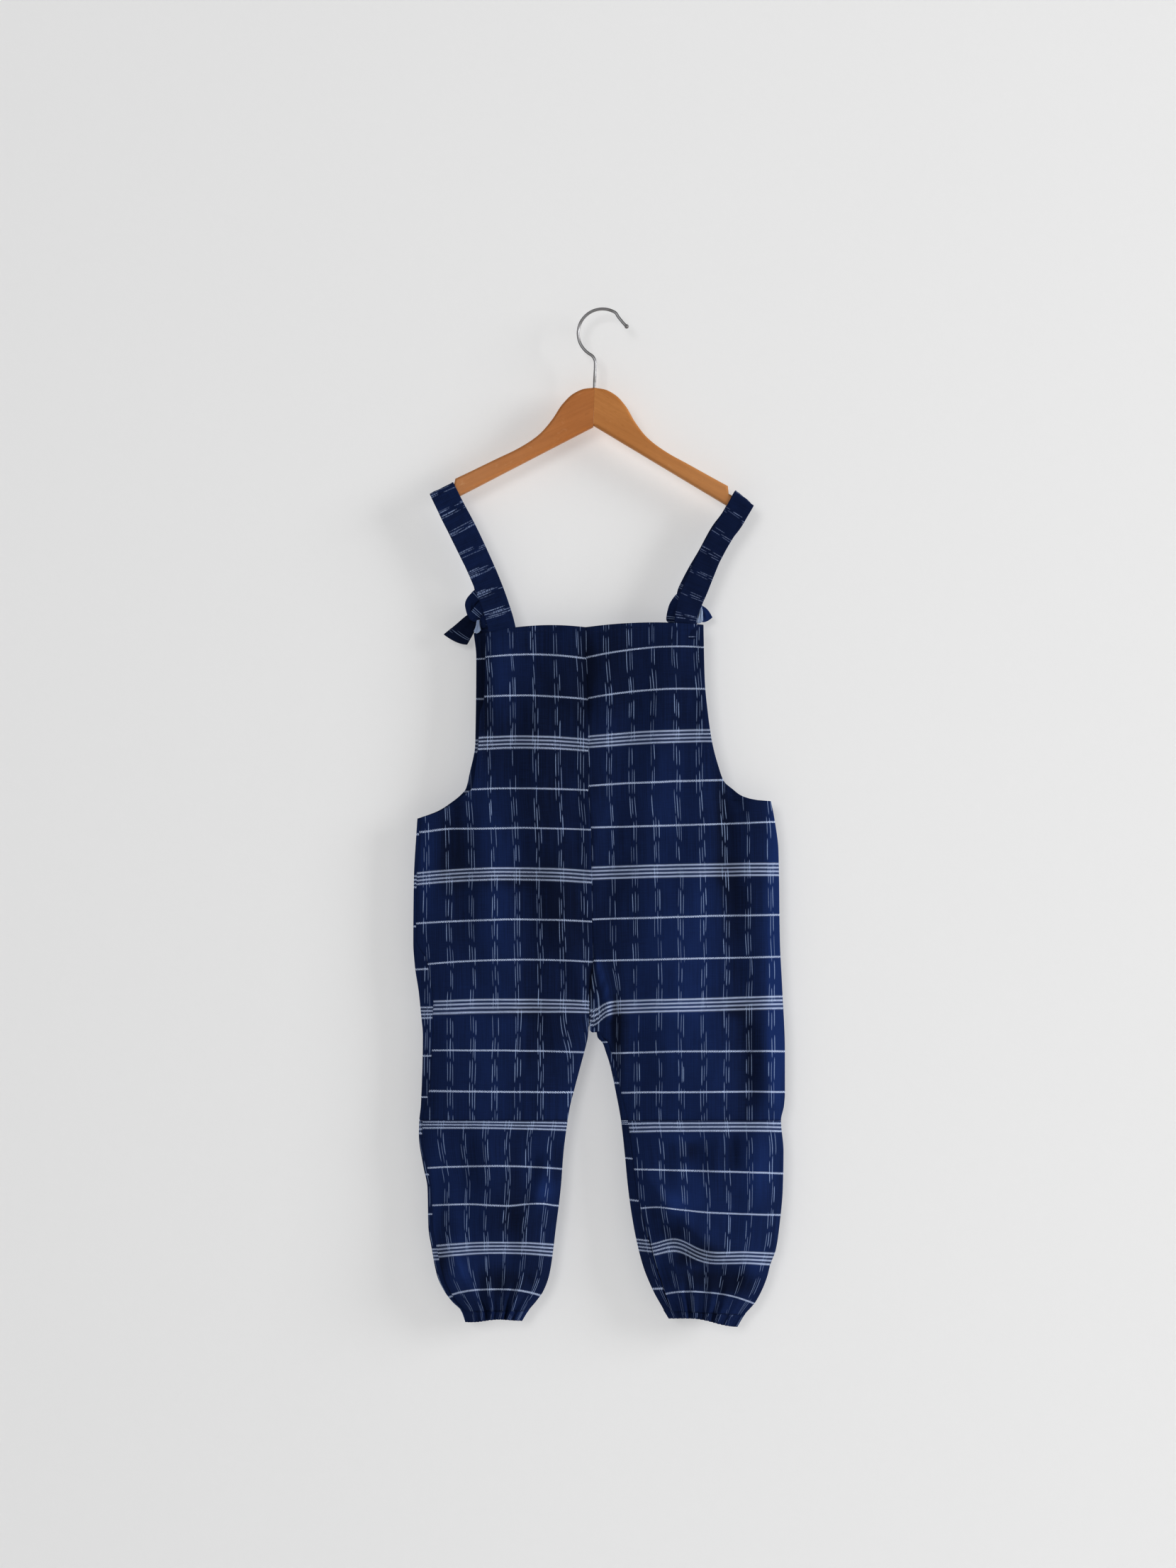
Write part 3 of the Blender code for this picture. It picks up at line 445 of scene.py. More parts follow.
def through(places: Array, values: Array, where: Array) -> Array:
    """A smooth line through points that never overshoots them.

    Each span is the cubic whose end slopes are the weighted harmonic means of the neighbouring spans' slopes.

    Args:
        places: The points' places, rising.
        values: The points' values.
        where: The places to read the line at, held to the points' own range.

    Returns:
        The line's values, in where's shape.
    """
    step = np.diff(places)
    rise = np.diff(values) / step
    slope = np.zeros_like(values)
    agree = rise[:-1] * rise[1:] > 0
    near, far = 2 * step[1:] + step[:-1], step[1:] + 2 * step[:-1]
    mean = (near + far)[agree] / (near[agree] / rise[:-1][agree] + far[agree] / rise[1:][agree])
    slope[1:-1][agree] = mean
    slope[0], slope[-1] = rise[0], rise[-1]
    held = np.clip(where, places[0], places[-1])
    span = np.clip(np.searchsorted(places, held, side="right") - 1, 0, len(step) - 1)
    share = (held - places[span]) / step[span]
    rest = 1.0 - share
    return (
        (1 + 2 * share) * rest**2 * values[span]
        + share * rest**2 * step[span] * slope[span]
        + share**2 * (3 - 2 * share) * values[span + 1]
        - share**2 * rest * step[span] * slope[span + 1]
    )


def sway(place: Array, pitch: float, drift: float) -> Array:
    """How a seam puckers along itself: 1 plus a sine whose phase wanders on a slower sine."""
    return 1.0 + 0.45 * np.sin(place * pitch + 2.0 * np.sin(place * drift))


def read(rows: Sequence[tuple], column: int, where: Array) -> Array:
    """One column of a table, on a smooth line over its first column.

    Args:
        rows: The table, whose first column rises.
        column: The number of the column to read.
        where: Places on the first column's scale.

    Returns:
        The column's values at those places.
    """
    numbers = np.array(rows, float)
    return through(numbers[:, 0], numbers[:, column], np.asarray(where, float))


def away_from_line(x: Array, drop: Array, line: Array) -> Array:
    """The distance from each place to a line of many close points: the least over its spans.

    Args:
        x: Places to the side.
        drop: Their drops.
        line: The line's points, as rows of x and drop.

    Returns:
        The distances, in x's shape.
    """
    starts, runs = line[:-1], np.diff(line, axis=0)
    from_x, from_drop = x[..., None] - starts[:, 0], drop[..., None] - starts[:, 1]
    along = np.clip((from_x * runs[:, 0] + from_drop * runs[:, 1]) / (runs**2).sum(axis=1), 0, 1)
    return np.hypot(from_x - along * runs[:, 0], from_drop - along * runs[:, 1]).min(axis=-1)


@dataclass(frozen=True)
class Ripple:
    """A field of soft uneven waves, the same each run: a sum of sines of seeded lengths and headings."""

    seed: int
    across: tuple[float, float]
    down: tuple[float, float]
    height: float
    waves: int = 16

    def at(self, x: Array, drop: Array) -> Array:
        """The field's height at each place, mostly within two heights either way.

        Args:
            x: Places to the side.
            drop: Their drops.

        Returns:
            Heights, in x's shape.
        """
        rng = np.random.default_rng(self.seed)
        across = 2 * math.pi / rng.uniform(*self.across, self.waves) * rng.choice([-1.0, 1.0], self.waves)
        down = 2 * math.pi / rng.uniform(*self.down, self.waves)
        phase = rng.uniform(0, 2 * math.pi, self.waves)
        total = np.sin(x[..., None] * across + drop[..., None] * down + phase).sum(axis=-1)
        return self.height * total / math.sqrt(self.waves)


# ----------------------------------------------------------------------------------------- the form


@dataclass(frozen=True)
class Form:
    """The shape in which the garment hangs: its outline, its swell, and the folds pressed into it."""

    half_ply: float = 0.45
    flat_power: float = 2.4
    flat_ease: float = 0.75
    front_flatter: float = 0.85
    crotch_rise: float = 112.0
    gather_start: float = 950.0
    fold_gain: float = 2.6
    gather_depth: float = 2.1
    gathers: float = 8.0
    tuck_depth: float = 2.4
    tucks: float = 5.0
    cuff_drop: float = 1003.0
    fold_fade: float = 0.35
    fold_lead: float = 0.3
    fold_widen: float = 0.35

    def body_edge(self, side: Side, drop: Array) -> Array:
        """How far to the side the body reaches at each drop, its width carried on up past the armhole."""
        return read(SIDE_EDGE[side], 1, drop)

    def edge(self, side: Side, layer: Layer, drop: Array) -> Array:
        """How far to the side the cloth of one layer reaches at each drop."""
        armhole = ARMHOLE_EDGE[side] if layer is Layer.BACK else FRONT_ARMHOLE_EDGE[side]
        return np.where(drop < CORNER_DROP[side], read(armhole, 1, drop), self.body_edge(side, drop))

    def inner(self, side: Side, drop: Array) -> Array:
        """Where the centre seam lies above the crotch, and the inseam below it."""
        return np.where(drop < CROTCH_DROP, read(CENTRE_SEAM, 1, drop), read(INSEAM[side], 1, drop))

    def lens(self, place: Array) -> Array:
        """Height of a flattened tube at a place from -1 to 1 across it: a power of one less another power."""
        return (1.0 - np.clip(np.abs(place), 0.0, 1.0) ** self.flat_power) ** self.flat_ease

    def folds(self, layer: Layer, x: Array, drop: Array) -> Array:
        """How far the folds press in: each is a bell across its own line, which fades towards both ends.

        Args:
            layer: The back or the front cloth.
            x: Places to the side.
            drop: Their drops.

        Returns:
            Depths, in x's shape.
        """
        total = np.zeros(np.shape(x))
        for fold in FOLDS[layer]:
            run_x, run_drop = fold.x1 - fold.x0, fold.drop1 - fold.drop0
            length = math.hypot(run_x, run_drop)
            along = ((x - fold.x0) * run_x + (drop - fold.drop0) * run_drop) / length
            across = ((x - fold.x0) * run_drop - (drop - fold.drop0) * run_x) / length
            fade = self.fold_fade * length
            lead = self.fold_lead * fade
            ends = ease((along + lead) / fade) * ease((length - along + lead) / fade)
            widen = 1.0 + self.fold_widen * along / length
            total += self.fold_gain * fold.depth * ends * bell(across / (fold.spread * widen))
        return total

    def ripples(self, layer: Layer, x: Array, drop: Array) -> Array:
        """The cloth's own unevenness: long soft waves that run down it, and small ones every way.

        Args:
            layer: The back or the front cloth.
            x: Places to the side.
            drop: Their drops.

        Returns:
            Depths, in x's shape.
        """
        seed = 11 if layer is Layer.BACK else 47
        long_waves = Ripple(seed, (48.0, 120.0), (180.0, 520.0), 1.3)
        short_waves = Ripple(seed + 1, (11.0, 30.0), (24.0, 70.0), 0.13, 24)
        return long_waves.at(x, drop) + short_waves.at(x, drop)

    def stand_off(self, side: Side, layer: Layer, x: Array, drop: Array) -> Array:
        """How far the middle of this layer stands off the plane of the side seams.

        One flattened tube goes round the body above the crotch and one round each leg below it, and they
        blend over the stretch above the crotch. Folds and ripples are taken off it, fading to nothing at the
        edges, and the gathers near the ankle ripple it across.

        Args:
            side: The half of the garment.
            layer: The back or the front cloth.
            x: Places to the side.
            drop: Their drops.

        Returns:
            The distances, always outward.
        """
        leg = ease((drop - CROTCH_DROP + self.crotch_rise) / self.crotch_rise)
        left, right = self.body_edge(Side.LEFT, drop), self.body_edge(Side.RIGHT, drop)
        outer, inner = self.body_edge(side, drop), self.inner(side, drop)
        body_lens = self.lens((2 * x - left - right) / (right - left))
        leg_lens = self.lens((2 * x - outer - inner) / (inner - outer))
        depth = read(BODY_SWELL, 1, drop) * body_lens * (1 - leg) + read(LEG_SWELL, 1, drop) * leg_lens * leg
        across = np.clip((x - outer) / (inner - outer), 0.0, 1.0)
        near = ease((drop - self.gather_start) / (self.cuff_drop - self.gather_start))
        shift = 0.35 * np.sin(7.0 * across + (2.0 if layer is Layer.BACK else 0.4))
        fine = self.gather_depth * near**2 * np.sin(2 * math.pi * (self.gathers * across + shift))
        broad = self.tuck_depth * near * np.sin(2 * math.pi * (self.tucks * across + 0.2 + shift))
        if layer is Layer.FRONT:
            depth = depth * self.front_flatter
        fade = body_lens * (1 - leg) + leg_lens * leg
        worked = self.folds(layer, x, drop) + self.ripples(layer, x, drop)
        shaped = depth - worked * fade + (fine + broad) * leg_lens
        return self.half_ply + np.maximum(shaped, 0.0)


FORM = Form()


def drawn_in(points: Array, reach: float = 2187.0) -> Array:
    """Cloth that swells towards the back is drawn towards the garment's middle, and cloth at the front away.

    Each place is scaled about the middle by 1 plus how far it lies in front of the cloth's plane, over a long
    reach.

    Args:
        points: Places as x, y and drop.
        reach: The reach.

    Returns:
        The places, with their y as it was.
    """
    scale = 1 + (points[..., 1] - CLOTH_PLANE) / reach
    x = MIDDLE[0] + (points[..., 0] - MIDDLE[0]) * scale
    drop = MIDDLE[1] + (points[..., 2] - MIDDLE[1]) * scale
    return np.stack([x, points[..., 1], drop], axis=-1)


# --------------------------------------------------------------------------------------- mesh tools


def grid_faces(rows: int, columns: int, closed: bool) -> Array:
    """Quads of a grid of points, row by row.

    Args:
        rows: How many rows it has.
        columns: How many columns it has.
        closed: Whether its last column joins its first.

    Returns:
        The quads' corners, n by 4.
    """
    here = np.arange(columns if closed else columns - 1)
    after = (here + 1) % columns
    start = np.arange(rows - 1)[:, None] * columns
    corners = [start + here, start + after, start + columns + after, start + columns + here]
    return np.stack(corners, axis=-1).reshape(-1, 4)


def new_mesh(name: str, points: Array, faces: list) -> Mesh:
    """A smooth mesh in metres.

    Args:
        name: Its name.
        points: Its points as x, y and drop in millimetres.
        faces: The corners of each of its faces.

    Returns:
        The mesh.
    """
    mesh = bpy.data.meshes.new(name)
    mesh.from_pydata((points.reshape(-1, 3) * np.array([MM, MM, -MM])).tolist(), [], faces)
    mesh.shade_smooth()
    return mesh


def rod_mesh(name: str, rings: Array, turned: bool = False) -> Mesh:
    """Rings of points joined into a tube, with a face over each end.

    Args:
        name: The mesh's name.
        rings: The rings' points, n by m by 3, as x, y and drop.
        turned: Whether the rings run the other way round, so that each face is turned over.

    Returns:
        The mesh.
    """
    rows, columns = rings.shape[:2]
    last = (rows - 1) * columns
    faces = grid_faces(rows, columns, True).tolist()
    faces += [list(range(columns))[::-1], list(range(last, last + columns))]
    return new_mesh(name, rings, [face[::-1] for face in faces] if turned else faces)


def linked(name: str, data: Any) -> Piece:
    """Links a new object to the scene.

    Args:
        name: Its name.
        data: The mesh, light or camera that it holds.

    Returns:
        The object.
    """
    piece = bpy.data.objects.new(name, data)
    bpy.context.scene.collection.objects.link(piece)
    return piece


def new_piece(name: str, mesh: Mesh, finish: Material, slot: Slot, *nodes: str) -> Piece:
    """Links a mesh as a piece of the object.

    Args:
        name: The piece's name.
        mesh: Its mesh, placed in the frame.
        finish: Its material.
        slot: The record's slot that its finish belongs to; not used.
        *nodes: The solids that it stands for.

    Returns:
        The new object, riding on the root body.
    """
    mesh.materials.append(finish)
    piece = linked(name, mesh)
    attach(piece, "root")
    if nodes:
        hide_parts(*nodes)
    return piece


def near_to(place: Union[Pull, PaintedShadingPatch], x: Array, drop: Array) -> Array:
    """How near each point is to a place on the cloth: a bell to the side times a bell down it."""
    return bell((x - place.x) / place.reach_x) * bell((drop - place.drop) / place.reach_drop)


def worn(layer: Layer, points: Array) -> Array:
    """The painted light and shade on the cloth: the patches' bells times their amounts, summed.

    Args:
        layer: The back or the front cloth.
        points: Places as x, y and drop.

    Returns:
        A value for each place, above 0 where light is painted and below 0 where shade is painted.
    """
    total = np.zeros(points.shape[:-1])
    for patch in PAINTED_SHADING_PATCHES[layer]:
        total += patch.amount * near_to(patch, points[..., 0], points[..., 2])
    return total


def surface_mesh(
    name: str, points: Array, cloth: Array, closed: bool = False, painted_shading: Union[Array, float] = 0.0
) -> Mesh:
    """A grid of points as a smooth mesh that carries the cloth's own coordinates.

    Args:
        name: The mesh's name.
        points: Rows and columns of x, y and drop.
        cloth: The places across and along the cloth, with one more column where it is closed.
        closed: Whether the last column joins the first.
        painted_shading: The painted light and shade at each point, or one value for all.

    Returns:
        The mesh, with its cloth coordinates in the UV map of that name and its painted shading in an
        attribute.
    """
    rows, columns = points.shape[:2]
    faces = grid_faces(rows, columns, closed)
    mesh = new_mesh(name, points, faces.tolist())
    wide = cloth.shape[1]
    corner_rows, corner_columns = faces // columns, faces % columns
    wrapped = closed & (corner_columns == 0) & (corner_columns.max(axis=1, keepdims=True) == columns - 1)
    flat = corner_rows * wide + np.where(wrapped, columns, corner_columns)
    layer = mesh.uv_layers.new(name="cloth")
    layer.data.foreach_set("uv", cloth.reshape(-1, 2)[flat.ravel()].astype(np.float32).ravel())
    painted_shadings = np.broadcast_to(np.asarray(painted_shading, np.float32), points.shape[:2]).ravel()
    # The attribute carries the painted light and shade into the cotton's colour
    mesh.attributes.new("worn", "FLOAT", "POINT").data.foreach_set("value", painted_shadings)
    mesh.update()
    return mesh


def close_ends(mesh: Mesh) -> None:
    """Closes each open end of swept cloth with one face at a plain place, and turns every face outward.

    Args:
        mesh: The mesh, changed in place.
    """
    whole = bmesh.new()
    whole.from_mesh(mesh)
    open_edges = [edge for edge in whole.edges if edge.is_boundary]
    ends = bmesh.ops.holes_fill(whole, edges=open_edges, sides=0)["faces"]
    bmesh.ops.recalc_face_normals(whole, faces=whole.faces)
    places = whole.loops.layers.uv["cloth"]
    for end in ends:
        for corner in end.loops:
            corner[places].uv = PLAIN_PLACE
    whole.to_mesh(mesh)
    whole.free()
    mesh.shade_smooth()


def give_wall(piece: Piece, thickness: float) -> None:
    """Makes an open sheet a wall of this thickness, half to each side of it.

    Args:
        piece: The sheet.
        thickness: The wall's thickness in millimetres.
    """
    wall = piece.modifiers.new("wall", "SOLIDIFY")
    wall.thickness = thickness * MM
    wall.offset = 0.0
    wall.use_even_offset = False


def sweep(path: Array, beside: Array, above: Array, profile: Array) -> Array:
    """Carries a closed profile along a path.

    Each row of points is the path's point plus the profile's two coordinates times the two directions there.

    Args:
        path: The path's points, n by 3.
        beside: The direction of the profile's first coordinate at each point, n by 3.
        above: The direction of its second, n by 3.
        profile: The profile's points, n by m by 2 or m by 2.

    Returns:
        Points, n by m by 3.
    """
    shape = np.broadcast_to(profile, (len(path), *profile.shape[-2:]))
    return path[:, None] + shape[..., :1] * beside[:, None] + shape[..., 1:] * above[:, None]


def unit(vectors: Array) -> Array:
    """Vectors scaled to length 1."""
    return vectors / np.maximum(np.linalg.norm(vectors, axis=-1, keepdims=True), 1e-9)


def lengths_along(points: Array) -> Array:
    """How far along a line each of its points lies."""
    return np.concatenate([[0.0], np.cumsum(np.linalg.norm(np.diff(points, axis=0), axis=1))])


def evened(points: Array, count: int) -> Array:
    """A smooth line through a few points, read at even distances.

    Args:
        points: The points, n by anything, whose first three columns are their places.
        count: How many points to give back.

    Returns:
        The line's points, with every column carried along.
    """
    along = lengths_along(points[:, :3])
    where = np.linspace(0, along[-1], count)
    return np.stack([through(along, points[:, k], where) for k in range(points.shape[1])], axis=1)


def beside_and_above(heading: Array) -> tuple[Array, Array]:
    """Two directions square to each heading, the second as near to the garment's front as can be."""
    beside = unit(np.cross(heading, DEPTH))
    return beside, np.cross(beside, heading)


# ----------------------------------------------------------------------------------------- finishes

Value = Union["Strand", float]


@dataclass
class Strand:
    """One value of a shader, which Python's own operators work on by adding Math nodes."""

    recipe: "Recipe"
    socket: bpy.types.NodeSocket

    def _math(self, operation: str, *values: Value, clamp: bool = False) -> "Strand":
        """Adds a Math node.

        Args:
            operation: What it does.
            *values: What it does it to, in order.
            clamp: Whether the result is held between 0 and 1.

        Returns:
            Its result.
        """
        settings = {"operation": operation, "use_clamp": clamp}
        node = self.recipe.add("ShaderNodeMath", settings, dict(enumerate(values)))
        return Strand(self.recipe, node.outputs[0])

    def __add__(self, other: Value) -> "Strand":
        """The sum."""
        return self._math("ADD", self, other)

    __radd__ = __add__

    def __sub__(self, other: Value) -> "Strand":
        """This less the other."""
        return self._math("SUBTRACT", self, other)

    def __rsub__(self, other: Value) -> "Strand":
        """The other less this."""
        return self._math("SUBTRACT", other, self)

    def __mul__(self, other: Value) -> "Strand":
        """The product."""
        return self._math("MULTIPLY", self, other)

    __rmul__ = __mul__

    def __truediv__(self, other: Value) -> "Strand":
        """This over the other."""
        return self._math("DIVIDE", self, other)

    def __rtruediv__(self, other: Value) -> "Strand":
        """The other over this."""
        return self._math("DIVIDE", other, self)

    def __pow__(self, other: Value) -> "Strand":
        """This to the other's power."""
        return self._math("POWER", self, other)

    def __rpow__(self, other: Value) -> "Strand":
        """The other to this power."""
        return self._math("POWER", other, self)

    def __gt__(self, other: Value) -> "Strand":
        """1 where this is the greater, else 0."""
        return self._math("GREATER_THAN", self, other)

    def __lt__(self, other: Value) -> "Strand":
        """1 where this is the less, else 0."""
        return self._math("LESS_THAN", self, other)

    def __abs__(self) -> "Strand":
        """The size without its sign."""
        return self._math("ABSOLUTE", self)

    def whole(self) -> "Strand":
        """The nearest whole number."""
        return self._math("ROUND", self)

    def floor(self) -> "Strand":
        """The whole number below."""
        return self._math("FLOOR", self)

    def part(self) -> "Strand":
        """What is left over the whole number below."""
        return self._math("FRACT", self)

    def least(self, other: Value) -> "Strand":
        """The lesser of the two."""
        return self._math("MINIMUM", self, other)

    def held(self) -> "Strand":
        """This, held between 0 and 1."""
        return self._math("ADD", self, 0.0, clamp=True)

    def under(self, limit: Value, soft: float) -> "Strand":
        """1 well under the limit and 0 well over it, over a soft edge of that width."""
        return ((limit - self) / soft + 0.5).held()


class Recipe:
    """The node tree of one material, with the one method that adds a node to it."""

    def __init__(self, material: Union[str, Material]) -> None:
        """Starts a material of this name with only its shader, or takes up one that is already made.

        Args:
            material: The name, or the material.
        """
        if isinstance(material, str):
            material = bpy.data.materials.new(material)
            material.use_nodes = True
        self.material = material
        self.tree = material.node_tree
        self.shader = self.tree.nodes["Principled BSDF"]

    def add(self, kind: str, settings: dict[str, Any], sockets: dict[Any, Any]) -> bpy.types.Node:
        """Adds a node.

        Args:
            kind: The node's type.
            settings: Its own settings, set first.
            sockets: Values or links of its inputs, by name or number.

        Returns:
            The node.
        """
        node = self.tree.nodes.new(kind)
        for name, value in settings.items():
            setattr(node, name, value)
        for name, value in sockets.items():
            self.feed(node.inputs[name], value)
        return node

    def feed(self, socket: bpy.types.NodeSocket, value: Any) -> None:
        """Links a strand or a socket to an input, or sets its value.

        Args:
            socket: The input.
            value: A strand, a socket, a number, a vector or a colour of three parts.
        """
        if isinstance(value, Strand):
            value = value.socket
        if isinstance(value, bpy.types.NodeSocket):
            self.tree.links.new(value, socket)
        elif isinstance(value, tuple) and len(value) == 3 and len(socket.default_value) == 4:
            socket.default_value = (*value, 1.0)
        else:
            socket.default_value = value

    def split(self, vector: bpy.types.NodeSocket, colour: bool = False) -> tuple[Strand, Strand, Strand]:
        """Splits a vector or a colour.

        Args:
            vector: Its socket.
            colour: Whether it is a colour.

        Returns:
            Its three parts.
        """
        kind = "ShaderNodeSeparateColor" if colour else "ShaderNodeSeparateXYZ"
        parts = self.add(kind, {}, {0: vector}).outputs
        return Strand(self, parts[0]), Strand(self, parts[1]), Strand(self, parts[2])

    def cloth(self) -> tuple[Strand, Strand]:
        """The places across and along the cloth, in millimetres."""
        return self.split(self.add("ShaderNodeUVMap", {"uv_map": "cloth"}, {}).outputs[0])[:2]

    def object_place(self) -> bpy.types.NodeSocket:
        """The place on the object, in metres."""
        return self.add("ShaderNodeTexCoord", {}, {}).outputs["Object"]

    def vector(self, x: Value, y: Value, z: Value = 0.0) -> bpy.types.NodeSocket:
        """Three values as a vector."""
        return self.add("ShaderNodeCombineXYZ", {}, {0: x, 1: y, 2: z}).outputs[0]

    def noise(self, place: Any, detail: float = 2.0, roughness: float = 0.5, scale: float = 1.0) -> Strand:
        """Soft noise from about 0 to 1.

        Args:
            place: Where it is read: a vector's socket, or its two or three values.
            detail: How many finer layers it has.
            roughness: How much these count.
            scale: How often it repeats in one unit of place.

        Returns:
            The noise.
        """
        where = self.vector(*place) if isinstance(place, tuple) else place
        sockets = {"Vector": where, "Scale": scale, "Detail": detail, "Roughness": roughness}
        return Strand(self, self.add("ShaderNodeTexNoise", {}, sockets).outputs[0])

    def dice(self, *place: Value) -> tuple[Strand, Strand, Strand]:
        """Seeded chances for each place.

        Args:
            *place: The two or three values that tell one place from the next.

        Returns:
            Three chances from 0 to 1.
        """
        where = {"Vector": self.vector(*place)}
        dice = self.add("ShaderNodeTexWhiteNoise", {"noise_dimensions": "3D"}, where)
        return self.split(dice.outputs["Color"], colour=True)

    def blend(self, share: Value, first: Any, second: Any) -> bpy.types.NodeSocket:
        """The first colour where the share is 0 and the second where it is 1."""
        sockets = {"Factor": share, 6: first, 7: second}
        return self.add("ShaderNodeMix", {"data_type": "RGBA"}, sockets).outputs[2]

    def bump(self, height: Strand, distance: float, strength: float) -> bpy.types.NodeSocket:
        """A normal pushed about by a height."""
        sockets = {"Strength": strength, "Distance": distance, "Height": height}
        return self.add("ShaderNodeBump", {}, sockets).outputs[0]

    def finish(self, colour: Any, normal: Any, roughness: Any, **fixed: float) -> Material:
        """Sets the shader's inputs and gives back the material.

        Args:
            colour: The base colour or its socket.
            normal: The normal's socket.
            roughness: A value or a strand.
            **fixed: Other inputs that are the same all over, by name with underscores for spaces.

        Returns:
            The material.
        """
        for name, value in (("Base Color", colour), ("Normal", normal), ("Roughness", roughness)):
            self.feed(self.shader.inputs[name], value)
        for name, value in fixed.items():
            self.shader.inputs[name.replace("_", " ").title().replace("Ior", "IOR")].default_value = value
        return self.material


@dataclass(frozen=True)
class KasuriCotton:
    """Slub cotton in indigo, with roped white stripes across it and rows of pale dyed dashes down it.

    The stripes repeat along the cloth: a band of four and then two single ones. The dashes lie on the yarns
    nearest to evenly spaced lines, one or a few to each side. Each yarn is cut into even lengths, each length
    holds one dash, and chance sets how long it is, how far it strays and how pale it is.
    """

    name: str = "indigo_kasuri"
    ground: Colour = (0.0076, 0.0142, 0.0430)
    # The paler colour that random fading mixes in, and painted light on the panels
    faded_and_painted_light: Colour = (0.0205, 0.0470, 0.1600)
    white: Colour = (0.56, 0.64, 0.82)
    dash: Colour = (0.34, 0.43, 0.62)
    repeat: float = BAND_REPEAT
    singles: tuple[float, float] = (44.7, 85.6)
    band_reach: float = 7.5
    band_pitch: float = 3.75
    band_tint: float = 0.04
    stripe_half: float = 0.40
    tooth: float = 0.62
    rope_pitch: float = 1.7
    group_pitch: float = ROW_PITCH
    yarns: int = 9
    beside: float = 1.5
    dash_repeat: float = 24.0
    dash_half: float = 0.30
    dash_edge: float = 0.45
    broken: float = 0.0
    # How strongly the painted light and shade of the mesh's attribute pales and darkens the cloth
    painted_shading: float = 0.9
    roughness: float = 0.85

    def stripes(self, recipe: Recipe, across: Strand, along: Strand) -> Strand:
        """Where the white stripes lie: near a stripe's middle and off the dark slants of its rope.

        Args:
            recipe: The material's nodes.
            across: Places across the cloth.
            along: Places along it.

        Returns:
            A value from 0 to 1.
        """
        wander = (recipe.noise((across * 0.02, along * 0.02)) - 0.5) * 1.2
        place = (along + wander) / self.repeat
        within = place.part() * self.repeat
        from_band = (place - place.whole()) * self.repeat
        in_band = abs(from_band) < self.band_reach
        steps = (from_band + self.band_reach) / self.band_pitch
        step = steps.part() * self.band_pitch - self.band_pitch / 2
        single = abs(within - self.singles[0]).least(abs(within - self.singles[1]))
        away = in_band * abs(step) + (1 - in_band) * single
        twist = recipe.noise((across * 0.30, along * 0.5), 2.0) * 1.6
        slant = abs(((across + along * 0.8) / self.rope_pitch + twist).part() - 0.5) * 2
        rope = slant.under(0.62, 0.5)
        worn = recipe.noise((across * 0.45, along * 0.9), 4.0, 0.7) * 1.3 + 0.25
        line = away.under(rope * self.tooth + self.stripe_half, 0.5) * (rope * 0.7 + 0.3)
        return (line + in_band * (1 - line) * self.band_tint) * worn.held()

    def dashes(self, recipe: Recipe, across: Strand, along: Strand) -> Strand:
        """How pale the dashes are at each place.

        Args:
            recipe: The material's nodes.
            across: Places across the cloth.
            along: Places along it.

        Returns:
            A value from 0 to 1.
        """
        pitch = self.group_pitch / self.yarns
        wander = (recipe.noise((across * 0.012, along * 0.016), 1.0) - 0.5) * 3.0
        moved = across + wander
        yarn = (moved / pitch + 0.5).floor()
        group = (yarn / self.yarns).whole()
        place = abs(yarn - group * self.yarns)
        shift, _, _ = recipe.dice(group, 3.0)
        own, _, _ = recipe.dice(yarn, 7.0)
        lane = along / self.dash_repeat + shift * 0.5 + own * 0.55
        cell = lane.floor()
        longness, stray, chance = recipe.dice(yarn, cell, 1.0)
        pale, narrow, _ = recipe.dice(yarn, cell, 5.0)
        reach = longness * 0.18 + 0.32
        down = abs(lane - cell - 0.5) / reach
        taper = (1 - down**6).held()
        lean = (lane - cell - 0.5) * (chance - 0.5) * 1.2
        aside = abs(moved - yarn * pitch - (stray - 0.5) * 1.1 - lean)
        half = taper * (narrow * 0.6 + 0.7) * self.dash_half
        line = aside.under(half, self.dash_edge) * (down < 1.0)
        sides = (place > 0.5) * (place < self.beside)
        there = (place < 0.5) * (pale > 0.06) + sides * (pale > 0.16)
        speckle = recipe.noise((moved * 0.8, along * 0.9), 4.0, 0.7) * 1.6 + 0.1
        strength = line * there * (chance * 0.5 + 0.5) * speckle.held()
        if self.broken:
            ticks = recipe.noise((moved * 0.3, along * 0.85), 2.0)
            strength = strength * (1 - ticks.under(0.47, 0.08) * self.broken)
        return strength.held()

    def material(self) -> Material:
        """Builds the cotton's nodes.

        Returns:
            The material.
        """
        recipe = Recipe(self.name)
        across, along = recipe.cloth()
        streak = recipe.noise((across * 1.1, along * 0.015), 4.0, 0.65)
        slub = recipe.noise((across * 0.06, along * 1.6), 3.0, 0.6)
        cloud = recipe.noise((across * 0.018, along * 0.012), 3.0)
        # Painted light and shade from the attribute pales the ground where light is painted and darkens it
        # where shade is
        attribute = recipe.add("ShaderNodeAttribute", {"attribute_name": "worn"}, {})
        painted_shading_here = Strand(recipe, attribute.outputs["Fac"])
        fade = (streak * 0.9 + slub * 0.45 + cloud * 0.6 - 0.60 + painted_shading_here * self.painted_shading).held()
        ground = recipe.blend(fade, self.ground, self.faded_and_painted_light)
        marked = recipe.blend(self.dashes(recipe, across, along), ground, self.dash)
        stripes = self.stripes(recipe, across, along)
        # Painted light also pales the white stripes, and painted shade dims them
        striped = recipe.blend((stripes * (painted_shading_here * 0.4 + 1.0)).held(), marked, self.white)
        nap = recipe.noise((across * 1.6, along * 1.3), 3.0, 0.7)
        height = nap * 0.7 + streak * 0.5 + slub * 0.3 + stripes * 0.35
        normal = recipe.bump(height, 0.0006, 0.35)
        return recipe.finish(striped, normal, self.roughness, specular_ior_level=0.06)


